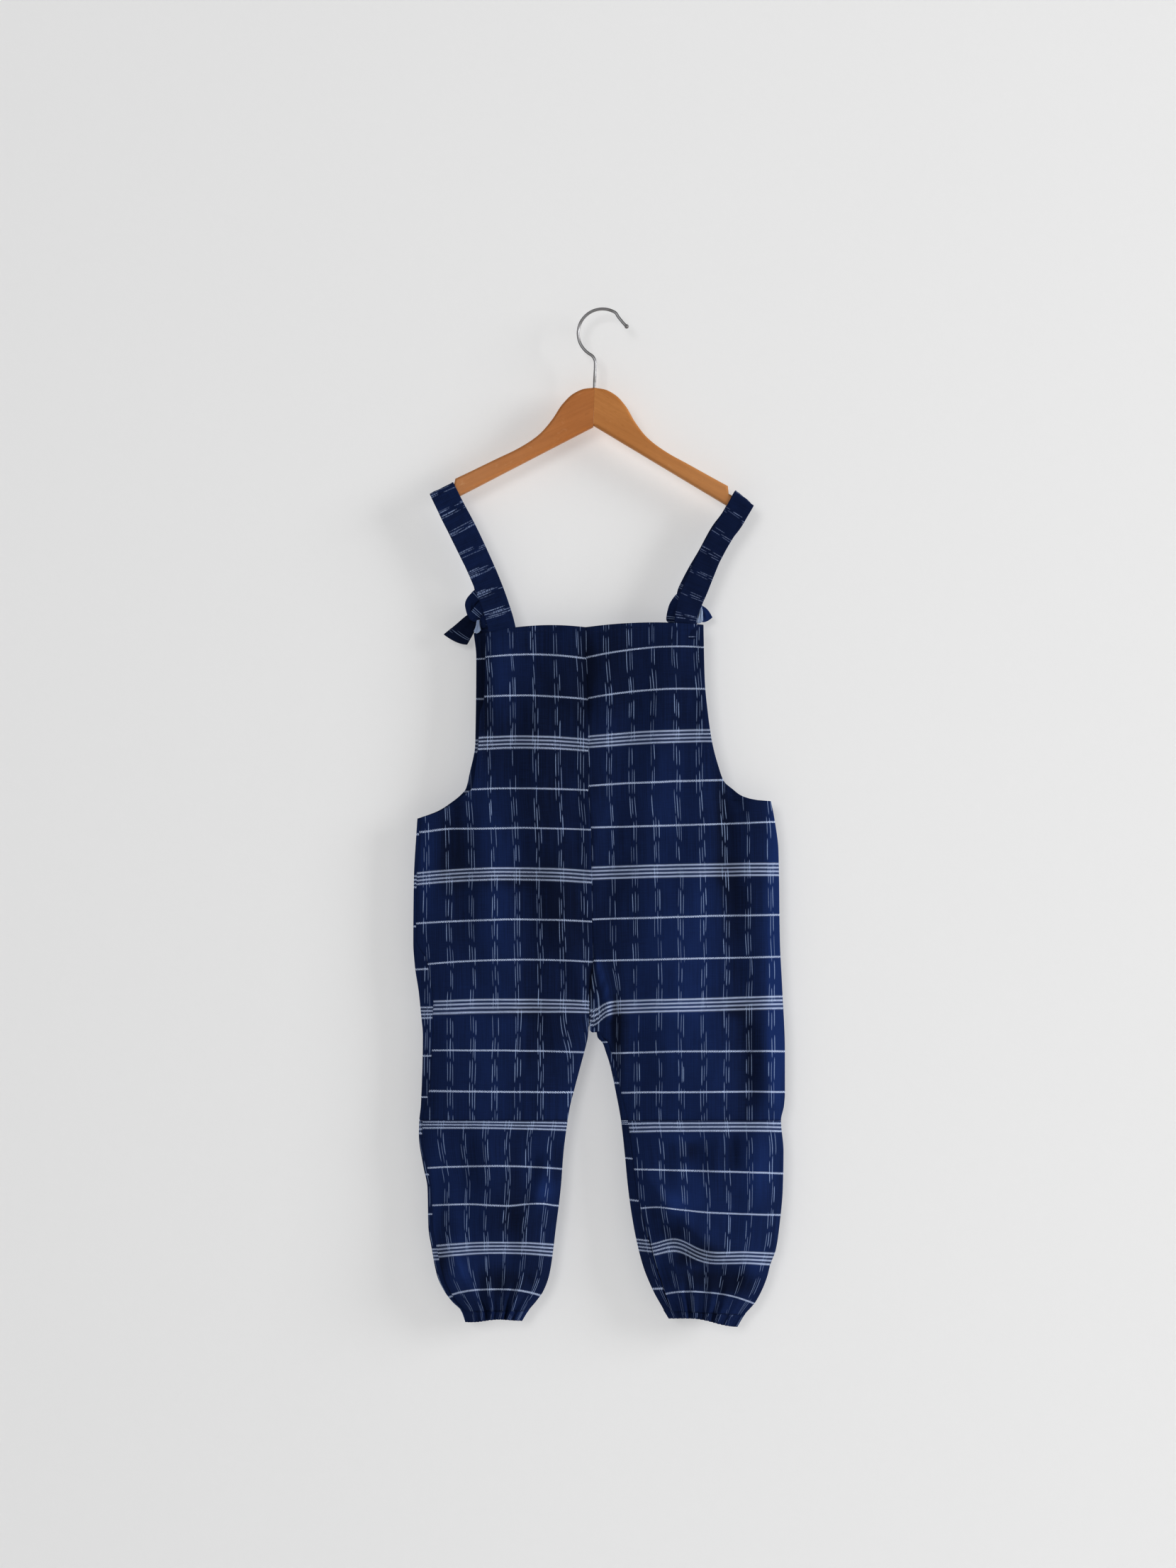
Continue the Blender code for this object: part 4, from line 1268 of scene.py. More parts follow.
@dataclass(frozen=True)
class VarnishedBeech:
    """Beech under worn orange-brown varnish, its grain along the arm."""

    name: str
    heading: float
    deep: Colour = (0.43, 0.178, 0.047)
    light: Colour = (0.61, 0.292, 0.096)
    scuffed: Colour = (0.62, 0.36, 0.19)
    paling: float = 0.32
    roughness: float = 0.5
    coat: float = 0.10

    def material(self) -> Material:
        """Builds the wood's nodes on Object coordinates turned to run along the arm.

        Returns:
            The material.
        """
        recipe = Recipe(self.name)
        place = recipe.object_place()
        turn = {"Vector": place, "Rotation": (0.0, self.heading, 0.0)}
        along, through_it, up = recipe.split(recipe.add("ShaderNodeMapping", {}, turn).outputs[0])
        aside = abs(recipe.split(place)[0])
        grain = recipe.noise((along * 14.0, through_it * 240.0, up * 420.0), 5.0, 0.6)
        figure = recipe.noise((along * 9.0, through_it * 50.0, up * 60.0), 2.0)
        fleck = recipe.noise((along * 160.0, through_it * 400.0, up * 620.0), 2.0)
        tone = (grain * 0.75 + figure * 0.95 - 0.38).held()
        body = recipe.blend(tone, self.deep, self.light)
        flecked = recipe.blend(((fleck - 0.56) * 2.2).held(), body, self.deep)
        scuff = recipe.noise((along * 90.0, through_it * 90.0, up * 150.0), 4.0, 0.7)
        rubbed = ((scuff - 0.60) * 3.5).held() * 0.8 + ((aside - 0.03) * 9.0).held() * self.paling
        worn = recipe.blend(rubbed.held(), flecked, self.scuffed)
        normal = recipe.bump(grain * 0.4 + fleck * 0.3 + scuff * 0.3, 0.0003, 0.25)
        rough = (scuff - 0.5) * 0.5 + self.roughness
        gloss = {"coat_weight": self.coat, "coat_roughness": 0.3, "specular_ior_level": 0.3}
        return recipe.finish(worn, normal, rough, **gloss)


@dataclass(frozen=True)
class SteelWire:
    """Drawn steel wire with faint lengthwise marks."""

    name: str = "drawn_steel"
    colour: Colour = (0.36, 0.36, 0.37)
    dull: Colour = (0.22, 0.21, 0.20)

    def material(self) -> Material:
        """Builds the steel's nodes.

        Returns:
            The material.
        """
        recipe = Recipe(self.name)
        place = recipe.object_place()
        marks = recipe.noise(place, 3.0, 0.6, scale=900.0)
        patches = recipe.noise(place, scale=120.0)
        colour = recipe.blend((patches * 1.6 - 0.5).held(), self.colour, self.dull)
        normal = recipe.bump(marks, 0.0002, 0.15)
        return recipe.finish(colour, normal, patches * 0.25 + 0.25, metallic=1.0)


@dataclass(frozen=True)
class PlainSurface:
    """A matt painted wall or floor."""

    name: str
    colour: Colour
    roughness: float = 0.9
    glow: float = 0.0
    lean: float = 0.0

    def material(self) -> Material:
        """Builds the paint's nodes, with the faintest mottle, and any glow rising to the right.

        Returns:
            The material.
        """
        recipe = Recipe(self.name)
        place = recipe.object_place()
        mottle = recipe.noise(place, 3.0, scale=6.0)
        colour = recipe.blend(mottle * 0.25, self.colour, tuple(c * 0.97 for c in self.colour))
        rising = (recipe.split(place)[0] * self.lean + 0.5).held()
        light = recipe.blend(rising, (0.8, 0.8, 0.8), (1.2, 1.2, 1.2))
        recipe.feed(recipe.shader.inputs["Emission Color"], light)
        normal = recipe.bump(recipe.noise(place, 3.0, scale=260.0), 0.0005, 0.08)
        return recipe.finish(colour, normal, self.roughness, emission_strength=self.glow)


@dataclass(frozen=True)
class OneSidedWall:
    """A matt painted wall that is clear from behind, so that what hangs on it shows from every side."""

    paint: PlainSurface

    def material(self) -> Material:
        """Builds the paint, mixed with a clear shader on the wall's back and for the light that passes.

        Returns:
            The material.
        """
        material = self.paint.material()
        recipe = Recipe(material)
        back = Strand(recipe, recipe.add("ShaderNodeNewGeometry", {}, {}).outputs["Backfacing"])
        passing = Strand(recipe, recipe.add("ShaderNodeLightPath", {}, {}).outputs["Is Shadow Ray"])
        clear = recipe.add("ShaderNodeBsdfTransparent", {}, {}).outputs[0]
        sockets = {0: (back + passing).held(), 1: recipe.shader.outputs[0], 2: clear}
        mixed = recipe.add("ShaderNodeMixShader", {}, sockets)
        recipe.feed(recipe.tree.nodes["Material Output"].inputs["Surface"], mixed.outputs[0])
        return material


@dataclass(frozen=True)
class Thread:
    """Indigo sewing thread, about as dark as the cloth."""

    name: str = "sewing_thread"
    colour: Colour = (0.0065, 0.0150, 0.0520)

    def material(self) -> Material:
        """Builds the thread's nodes.

        Returns:
            The material.
        """
        recipe = Recipe(self.name)
        place = recipe.object_place()
        twist = recipe.noise(place, scale=2600.0)
        colour = recipe.blend(twist, self.colour, tuple(c * 1.5 for c in self.colour))
        return recipe.finish(colour, recipe.bump(twist, 0.0002, 0.3), 0.6)


# --------------------------------------------------------------------------------------- the panels


@dataclass(frozen=True)
class Hem:
    """A turned and stitched edge: how wide it is, how much it stands proud, and its stitching."""

    width: float = 6.5
    proud: float = 0.28
    groove: float = 0.3
    stitch: float = 2.6
    gap: float = 1.0
    thread: float = 0.14

    def height(self, away: Array) -> Array:
        """How far the hem stands out, less the groove of its stitching, at each distance from the edge."""
        step = self.proud * (1 - ease((away - self.width + 0.4) / 1.4))
        return step - self.groove * bell((away - self.width + 1.0) / 0.7)


HEM = Hem()


@dataclass
class Panel:
    """One panel of cloth: one side of one layer, above or below the knee."""

    side: Side
    layer: Layer
    level: Level
    number: float
    row_step: float = 1.9
    columns: int = 92
    cloth_thickness: float = 0.62
    seam_gap: float = 0.06
    valley: float = 0.55
    valley_reach: float = 1.5
    roll_columns: int = 7
    turn_columns: int = 6
    knee_allowance: float = 13.0
    lap: float = 1.4
    lap_depth: float = 1.1
    warp_offset: Pair = Pair(-7.5, 1.9)
    lower_offset: float = 9.0
    straight_seam: float = 655.0
    knee_drop: float = 812.2
    end_hold: float = 24.0
    edge_hold: float = 9.0
    border: float = 8.0
    ease_share: float = 1.03
    least_length: float = 0.19
    most_filled: float = 0.999

    @property
    def name(self) -> str:
        """The name of the panel and of the solid that it stands for."""
        plain = f"{self.layer.value}_{self.side.value}"
        return plain if self.level is Level.UPPER else f"lower_{plain}"

    @property
    def table(self) -> list[Row]:
        """The panel's rows."""
        return ROWS[self.side, self.layer, self.level]

    @property
    def reach(self) -> float:
        """How far the turned edge reaches out from the fold's middle."""
        return FORM.half_ply + self.cloth_thickness / 2

    def threads(self) -> Array:
        """The threads of the grid's rows: even, with close ones at the armhole's corner or at the lap.

        Returns:
            Their numbers, rising.
        """
        first, last = self.table[0].thread, self.table[-1].thread
        even = np.linspace(first, last, round((last - first) / self.row_step) + 1)
        if self.level is Level.LOWER:
            return np.unique(np.concatenate([even, first + np.array([0.6, 1.2, 2.4])]))
        corner = np.interp(CORNER_DROP[self.side], read(self.table, 1, even), even)
        return np.unique(np.concatenate([even, corner + np.array([-0.4, 0.0, 0.4])]))

    def row_ends(self, threads: Array) -> tuple[Array, Array, Array, Array]:
        """Where each row begins and ends.

        Args:
            threads: The rows' threads.

        Returns:
            The side's x and drop, and the seam's x and drop.
        """
        side_drop, inner_drop = read(self.table, 1, threads), read(self.table, 3, threads)
        side_x = FORM.edge(self.side, self.layer, side_drop)
        return side_x, side_drop, FORM.inner(self.side, inner_drop), inner_drop

    def rolled(self, drop: Array) -> Array:
        """How wide the roll is.

        Args:
            drop: Where it is read.

        Returns:
            Its width at each drop, and 0 where nothing rolls.
        """
        start = CORNER_DROP[self.side] if self.side is Side.LEFT else CROTCH_DROP + 2.0
        width = read(ROLL_WIDTH[self.side], 1, drop)
        return width * (drop >= start)

    def drops(self, x: Array, threads: Array) -> Array:
        """The drop of each thread at each place: the line between its ends, its sag, and the pulls on it.

        Args:
            x: Places to the side, rows by columns.
            threads: The rows' threads.

        Returns:
            Drops, rows by columns.
        """
        side_x, side_drop, inner_x, inner_drop = (part[:, None] for part in self.row_ends(threads))
        across = (x - side_x) / (inner_x - side_x)
        sag = read(self.table, 2, threads)[:, None]
        drop = side_drop + (inner_drop - side_drop) * across + sag * 4 * across * (1 - across)
        from_edge = np.minimum(across, 1 - across) if self.level is Level.LOWER else across
        edge = ease(from_edge * self.edge_hold)
        above, below = (threads - threads[0]) / self.end_hold, (threads[-1] - threads) / self.end_hold
        held = ease(above)[:, None] * ease(below)[:, None]
        for pull in PULLS[self.side, self.layer]:
            drop = drop + pull.amount * near_to(pull, x, drop) * held * edge
        return drop

    def cloth_place(self, x: Array, drop: Array, threads: Array) -> Array:
        """The places across and along the cloth, for the pattern.

        Above the knee the distance across is that from the centre seam, with the leaning threads taken off.
        Below it the threads close up towards the ankle, so it is the share of the row's width times the width
        at the knee.

        Args:
            x: Places to the side, rows by columns.
            drop: Their drops.
            threads: The rows' threads.

        Returns:
            Rows by columns by 2, in millimetres.
        """
        side_x, _, inner_x, _ = (part[:, None] for part in self.row_ends(threads))
        share = (x - side_x) / (inner_x - side_x)
        along = threads[:, None] + read(self.table, 4, threads)[:, None] * np.clip(share, 0, 1)
        if self.level is Level.UPPER:
            seam = read(CENTRE_SEAM, 1, np.minimum(drop, self.straight_seam))
            across = (seam - x) * self.side.to_seam
            for lean in LEANS[self.side] if self.layer is Layer.BACK else ():
                shift = lean.amount * ease((drop - lean.drop0) / (lean.drop1 - lean.drop0))
                across = across + self.side.to_seam * shift * bell((x - lean.x) / lean.reach)
            across = across + self.warp_offset.of(self.side)
        else:
            knee = np.array(self.knee_drop)
            knee_width = FORM.inner(self.side, knee) - FORM.edge(self.side, self.layer, knee)
            across = (1 - share) * abs(float(knee_width)) + self.lower_offset
        return np.stack([across, along], axis=-1) + cut_at(self.number)

    def relief(self, x: Array, drop: Array, threads: Array, from_seam: Array) -> Array:
        """What is added to the form near a panel's edges: hems that stand proud, and valleys along the seams.

        Args:
            x: Places to the side, rows by columns.
            drop: Their drops.
            threads: The rows' threads.
            from_seam: Distances from the centre seam or inseam.

        Returns:
            Distances outward, rows by columns.
        """
        added = -self.valley * bell(from_seam / self.valley_reach) * sway(drop, 0.9, 0.21)
        knee = threads[-1] if self.level is Level.UPPER else threads[0] + self.lap
        from_knee = np.abs(threads - knee)[:, None]
        added = added - self.valley * bell(from_knee / self.valley_reach) * sway(x, 0.8, 0.17)
        if self.level is Level.UPPER:
            hemmed = drop < CORNER_DROP[self.side] + 2 * HEM.width - 1.0
            return added + HEM.height(away_from_line(x, drop, self.free_edge())) * hemmed
        lapped = 1 - ease((threads - threads[0] - self.lap + 0.1) / 1.1)[:, None]
        added = added + 0.22 * (1 - ease((from_knee - self.knee_allowance) / 1.6)) - self.lap_depth * lapped
        return added - 0.15 * bell((threads[-1] - threads)[:, None] / 1.6)

    def free_edge(self) -> Array:
        """The line along the bib's top and down the armhole to its corner.

        Returns:
            Its points as x and drop.
        """
        first = self.table[0]
        side_x, side_drop, inner_x, inner_drop = self.row_ends(np.array([first.thread]))
        share = np.linspace(1, 0, 60)
        top_x = side_x + (inner_x - side_x) * share
        top_drop = side_drop + (inner_drop - side_drop) * share + first.sag * 4 * share * (1 - share)
        drop = np.linspace(float(side_drop[0]), CORNER_DROP[self.side], 150)
        armhole = np.stack([FORM.edge(self.side, self.layer, drop - 1e-6), drop], axis=1)
        return np.vstack([np.stack([top_x, top_drop], axis=1), armhole[1:]])

    def lay(self, x: Array, threads: Array, layer: Layer) -> tuple[Array, Array]:
        """Lays rows of cloth on one layer of the form.

        Args:
            x: Places to the side, rows by columns.
            threads: The rows' threads.
            layer: The layer that they lie on.

        Returns:
            The points as x, y and drop, and the cloth's own places.
        """
        drop = self.drops(x, threads)
        from_seam = np.abs(x - self.row_ends(threads)[2][:, None])
        stand = FORM.stand_off(self.side, layer, x, drop) + self.relief(x, drop, threads, from_seam)
        points = np.stack([x, layer.outward * np.maximum(stand, FORM.half_ply * 0.8), drop], axis=-1)
        return points, self.cloth_place(x, drop, threads)

    def spread(self, starts: Array, ends: Array, threads: Array) -> Array:
        """Places across each row, a little closer together near both of its ends.

        Args:
            starts: How far in from the side each row begins.
            ends: How far short of the seam it ends.
            threads: The rows' threads.

        Returns:
            Places to the side, rows by columns.
        """
        side_x, _, inner_x, _ = self.row_ends(threads)
        even = np.linspace(0, 1, self.columns)
        share = 0.6 * even + 0.4 * (1 - np.cos(math.pi * even)) / 2
        low, high = side_x + self.side.to_seam * starts, inner_x - self.side.to_seam * ends
        return low[:, None] + (high - low)[:, None] * share

    def back_grid(self, threads: Array) -> tuple[Array, Array]:
        """A back panel, which stops short of each edge that the front panel rolls over.

        Args:
            threads: The rows' threads.

        Returns:
            The points as x, y and drop, and the cloth's own places.
        """
        _, side_drop, _, inner_drop = self.row_ends(threads)
        left = self.side is Side.LEFT
        width = self.rolled(side_drop if left else inner_drop)
        short = width + self.reach + self.seam_gap
        rolled = width > 0
        starts = np.where(rolled & left, short, 0.0)
        ends = np.where(rolled & (not left), short, self.seam_gap)
        points, cloth = self.lay(self.spread(starts, ends, threads), threads, Layer.BACK)
        rolled_edge = points[:, [0 if left else -1], 0]
        depth = np.where(rolled, self.valley, 0.0)[:, None]
        points[..., 1] += depth * bell(np.abs(points[..., 0] - rolled_edge) / self.valley_reach)
        return points, cloth

    def front_grid(self, threads: Array) -> tuple[Array, Array]:
        """A front panel, whose border turns round the edge and lies on the back where that edge is rolled.

        Args:
            threads: The rows' threads.

        Returns:
            The points as x, y and drop, and the cloth's own places.
        """
        side_x, side_drop, inner_x, inner_drop = self.row_ends(threads)
        left = self.side is Side.LEFT
        edge_x, drop = (side_x, side_drop) if left else (inner_x, inner_drop)
        inward = self.side.to_seam if left else -self.side.to_seam
        width = self.rolled(drop)
        is_rolled = (width > 0)[:, None, None]
        fold_x = (edge_x + inward * self.reach)[:, None]
        share = np.linspace(1, 0, self.roll_columns + 1)[:-1]
        strip, strip_cloth = self.lay(fold_x + inward * width[:, None] * share, threads, Layer.BACK)
        strip[..., 1] += self.valley * bell((1 - share) * width[:, None] / self.valley_reach)
        turn = np.linspace(0, math.pi, self.turn_columns + 1)[:-1]
        turn_x = fold_x - inward * FORM.half_ply * np.sin(turn)
        turn_drop = self.drops(turn_x, threads)
        turned = np.stack([turn_x, -FORM.half_ply * np.cos(turn) + 0 * turn_x, turn_drop], axis=-1)
        turned_cloth = self.cloth_place(turn_x, turn_drop, threads)
        steps = np.linspace(0, self.border, self.roll_columns + self.turn_columns + 1)[:-1]
        plain_x = (edge_x + inward * (0.0 if left else self.seam_gap))[:, None] + inward * steps
        plain, plain_cloth = self.lay(plain_x, threads, Layer.FRONT)
        border = np.where(is_rolled, np.concatenate([strip, turned], axis=1), plain)
        border_cloth = np.where(is_rolled, np.concatenate([strip_cloth, turned_cloth], axis=1), plain_cloth)
        inset = np.where(width > 0, self.reach, self.border)
        starts = inset if left else np.zeros(len(threads))
        ends = np.full(len(threads), self.seam_gap) if left else inset
        main, main_cloth = self.lay(self.spread(starts, ends, threads), threads, Layer.FRONT)
        if left:
            return np.concatenate([border, main], axis=1), np.concatenate([border_cloth, main_cloth], axis=1)
        points = np.concatenate([main, border[:, ::-1]], axis=1)
        return points, np.concatenate([main_cloth, border_cloth[:, ::-1]], axis=1)

    def build(self, cotton: Material) -> Piece:
        """Builds the panel as a thin wall and works out its cut, which is not passed on.

        The cut is as wide as the widest row, with a little more for its folds, and as long as its threads.

        Args:
            cotton: Its material.

        Returns:
            The piece.
        """
        threads = self.threads()
        points, cloth = self.back_grid(threads) if self.layer is Layer.BACK else self.front_grid(threads)
        mesh = surface_mesh(self.name, drawn_in(points), cloth, painted_shading=worn(self.layer, points))
        piece = new_piece(f"{self.name}_cloth", mesh, cotton, Slot.CLOTH, self.name)
        give_wall(piece, self.cloth_thickness)
        width = float(np.abs(np.diff(points[..., 0], axis=1)).sum(axis=1).max()) * MM
        length = float(threads[-1] - threads[0]) * MM
        across = np.linalg.norm(points[:-1, 1:] - points[:-1, :-1], axis=-1)
        down = np.linalg.norm(points[1:, :-1] - points[:-1, :-1], axis=-1)
        area = float((across * down).sum()) * MM * MM
        flat = (round(width * self.ease_share, 3), round(max(length, self.least_length), 3))
        area = round(min(area, self.most_filled * flat[0] * flat[1]), 4)
        return piece


@dataclass
class Cuff:
    """The gathered casing round one ankle, its lower edge ruffled by the elastic in it."""

    side: Side
    number: float
    top: Pair = Pair((1001.8, 1001.8), (1005.8, 1001.8))
    bottom: Pair = Pair((1014.0, 1014.0), (1019.0, 1013.0))
    rows: int = 16
    columns: int = 150
    cloth_thickness: float = 1.0
    ruffle: float = 0.75
    tuck: float = 1.3
    scallops: float = 17.0
    lift: Pair = Pair(2.8, 5.0)
    cloth_width: float = 148.0
    cloth_start: float = 195.0
    cloth_depth: float = 16.0
    flat: tuple[float, float] = (0.185, 0.0145)

    def ring(self, layer: Layer, share: Array) -> tuple[Array, Array]:
        """Half of the casing: the form's own lens from its top edge to its bottom one, with its ruffles.

        Args:
            layer: The half at the back or at the front.
            share: Places from the casing's top, 0, to its bottom, 1.

        Returns:
            The points as x, y and drop, and the cloth's own places.
        """
        (top_side, top_in), (low_side, low_in) = self.top.of(self.side), self.bottom.of(self.side)
        side_drop = top_side + (low_side - top_side) * share
        inner_drop = top_in + (low_in - top_in) * share
        side_x, inner_x = read(SIDE_EDGE[self.side], 1, side_drop), read(INSEAM[self.side], 1, inner_drop)
        place = (1 - np.cos(np.linspace(0, math.pi, self.columns))) / 2
        x = side_x[:, None] + (inner_x - side_x)[:, None] * place
        drop = side_drop[:, None] + (inner_drop - side_drop)[:, None] * place
        drop -= self.lift.of(self.side) * share[:, None] * bell((place - 0.68) / 0.45)
        phase = 0.0 if layer is Layer.BACK else 0.4
        wave = np.sin(2 * math.pi * (self.scallops * place + phase + 0.5 * np.sin(5 * place)))
        tucked = self.tuck * (1 - ease((share - 0.13) / 0.14))[:, None]
        swing = (self.ruffle * 1.3 * share * ease(share * 4))[:, None] * wave - tucked
        lens = FORM.lens(2 * place - 1)
        stand = FORM.stand_off(self.side, layer, x, drop) + swing * lens
        band = 0.5 * np.sin(math.pi * share)[:, None] * lens
        drop = drop + 0.55 * share[:, None] * wave * lens + 0.4 * np.sin(9 * place + phase) * share[:, None]
        points = np.stack([x, layer.outward * (stand + band), drop], axis=-1)
        down = self.cloth_start + self.cloth_depth * share[:, None]
        return points, np.stack(np.broadcast_arrays(place * self.cloth_width, down), axis=-1)

    def build(self, cotton: Material) -> Piece:
        """Builds the casing as one closed band of cloth.

        Args:
            cotton: Its material.

        Returns:
            The piece.
        """
        share = np.linspace(0, 1, self.rows)
        back, back_cloth = self.ring(Layer.BACK, share)
        front, front_cloth = self.ring(Layer.FRONT, share)
        points = np.concatenate([back, front[:, ::-1]], axis=1)
        front_cloth[..., 0] = 2 * self.cloth_width - front_cloth[..., 0]
        cloth = np.concatenate([back_cloth, front_cloth[:, ::-1], front_cloth[:, :1]], axis=1)
        name = f"cuff_{self.side.value}"
        mesh = surface_mesh(name, drawn_in(points), cloth + cut_at(self.number), closed=True)
        piece = new_piece(f"{name}_cloth", mesh, cotton, Slot.CLOTH, name)
        give_wall(piece, self.cloth_thickness)
        return piece


# ----------------------------------------------------------------------------- the straps and knots


@dataclass
class Strap:
    """One strap, from inside the back bib up over its hanger arm and down to its knot."""

    side: Side
    number: float
    thickness: float = 1.7
    solid_ply: float = 1.6
    wood: float = 11.0
    gap: float = 0.3
    rise: float = 5.0
    crown_power: float = 0.7
    bib_top: float = 316.0
    tuck_start: float = 45.0
    knot_depth: float = 9.0
    stations: int = 190
    edge_stitch: float = 2.6
    first_row: Pair = Pair(8.9, 21.7)

    @property
    def hang_depth(self) -> float:
        """How far the strap's middle hangs from the hanger's."""
        return self.wood / 2 + self.gap + self.solid_ply / 2

    def path(self) -> Array:
        """The strap's middle line, from inside the bib over the arm to the knot.

        Returns:
            Each station's x, y, drop, tilt and width.
        """
        back = np.array(BACK_STRAP[self.side], float)[::-1]
        front = np.array(FRONT_STRAP[self.side], float)
        share = ease((back[:, 1] - self.bib_top + self.tuck_start) / self.tuck_start)
        inside = -FORM.stand_off(self.side, Layer.BACK, back[:, 0], back[:, 1]) + self.solid_ply
        back_y = -self.hang_depth * (1 - share) + inside * share
        turn = np.radians(np.linspace(25, 155, 7))
        over = ((1 - np.cos(turn)) / 2)[:, None]
        crown = back[-1] * (1 - over) + front[0] * over
        onward = unit(back[-1, :2] - back[-2, :2])
        crown[:, :2] += np.outer(self.rise * np.sin(turn) ** self.crown_power, onward)
        crown[:, 3] = back[-1, 3]
        down = ease((front[:, 1] - front[0, 1]) / (front[-1, 1] - front[0, 1]))
        front_y = self.hang_depth * (1 - down) + self.knot_depth * down
        flat = np.vstack([back, crown, front])
        depth = np.concatenate([back_y, -self.hang_depth * np.cos(turn), front_y])
        return evened(np.insert(flat, 1, depth, axis=1), self.stations)

    def profile(self, width: Array, along: Array) -> tuple[Array, Array]:
        """The strap's section at each station: two flat faces, dented by stitching, and two round edges.

        Args:
            width: The strap's width at each station.
            along: How far along it each station lies.

        Returns:
            The section's points, and how far to the side each of them lies, from -1 to 1.
        """
        flat = np.linspace(-1, 1, 15)
        bend = np.linspace(0, math.pi, 7)[1:-1]
        half = self.thickness / 2
        run_x = np.concatenate([flat, 1 + 0 * bend, flat[::-1], -1 + 0 * bend])
        round_x = np.concatenate([0 * flat, np.sin(bend), 0 * flat, -np.sin(bend)])
        round_y = np.concatenate([1 + 0 * flat, np.cos(bend), -1 + 0 * flat, -np.cos(bend)])
        x = run_x * (width[:, None] / 2 - half) + round_x * half
        from_edge = width[:, None] / 2 - np.abs(x)
        dent = 0.22 * bell((from_edge - self.edge_stitch) / 0.9)
        along = along[:, None]
        wave = 0.28 * np.sin(along * 0.19 + x * 0.22) + 0.16 * np.sin(along * 0.43 - x * 0.5 + 2.0)
        y = round_y * (half - dent * (np.abs(round_y) > 0.99)) + wave * (1 - np.abs(run_x) ** 6)
        return np.stack([x, y], axis=-1), run_x

    def build(self, cotton: Material, with_pieces: Sequence[Piece]) -> Piece:
        """Builds the strap as one closed piece.

        Args:
            cotton: Its material.
            with_pieces: The parts of its knot; not used.

        Returns:
            The piece.
        """
        line = self.path()
        middle, tilt, width = line[:, :3], np.radians(line[:, 3]), line[:, 4]
        along = lengths_along(middle)
        level = np.stack([np.cos(tilt), 0 * tilt, -np.sin(tilt)], axis=1)
        heading = unit(np.gradient(middle, axis=0))
        above = unit(np.cross(level, heading))
        profile, around = self.profile(width, along)
        points = sweep(middle, unit(np.cross(heading, above)), above, profile)
        down = (along - self.first_row.of(self.side))[:, None]
        across = np.append(around, -1.0) * width[:, None] / 2 + PLAIN_PLACE[1]
        cloth = np.stack(np.broadcast_arrays(down, across), axis=-1) + cut_at(self.number)
        name = f"strap_{self.side.value}"
        mesh = surface_mesh(name, points, cloth, closed=True)
        close_ends(mesh)
        piece = new_piece(f"{name}_cloth", mesh, cotton, Slot.STRAP, name)
        return piece


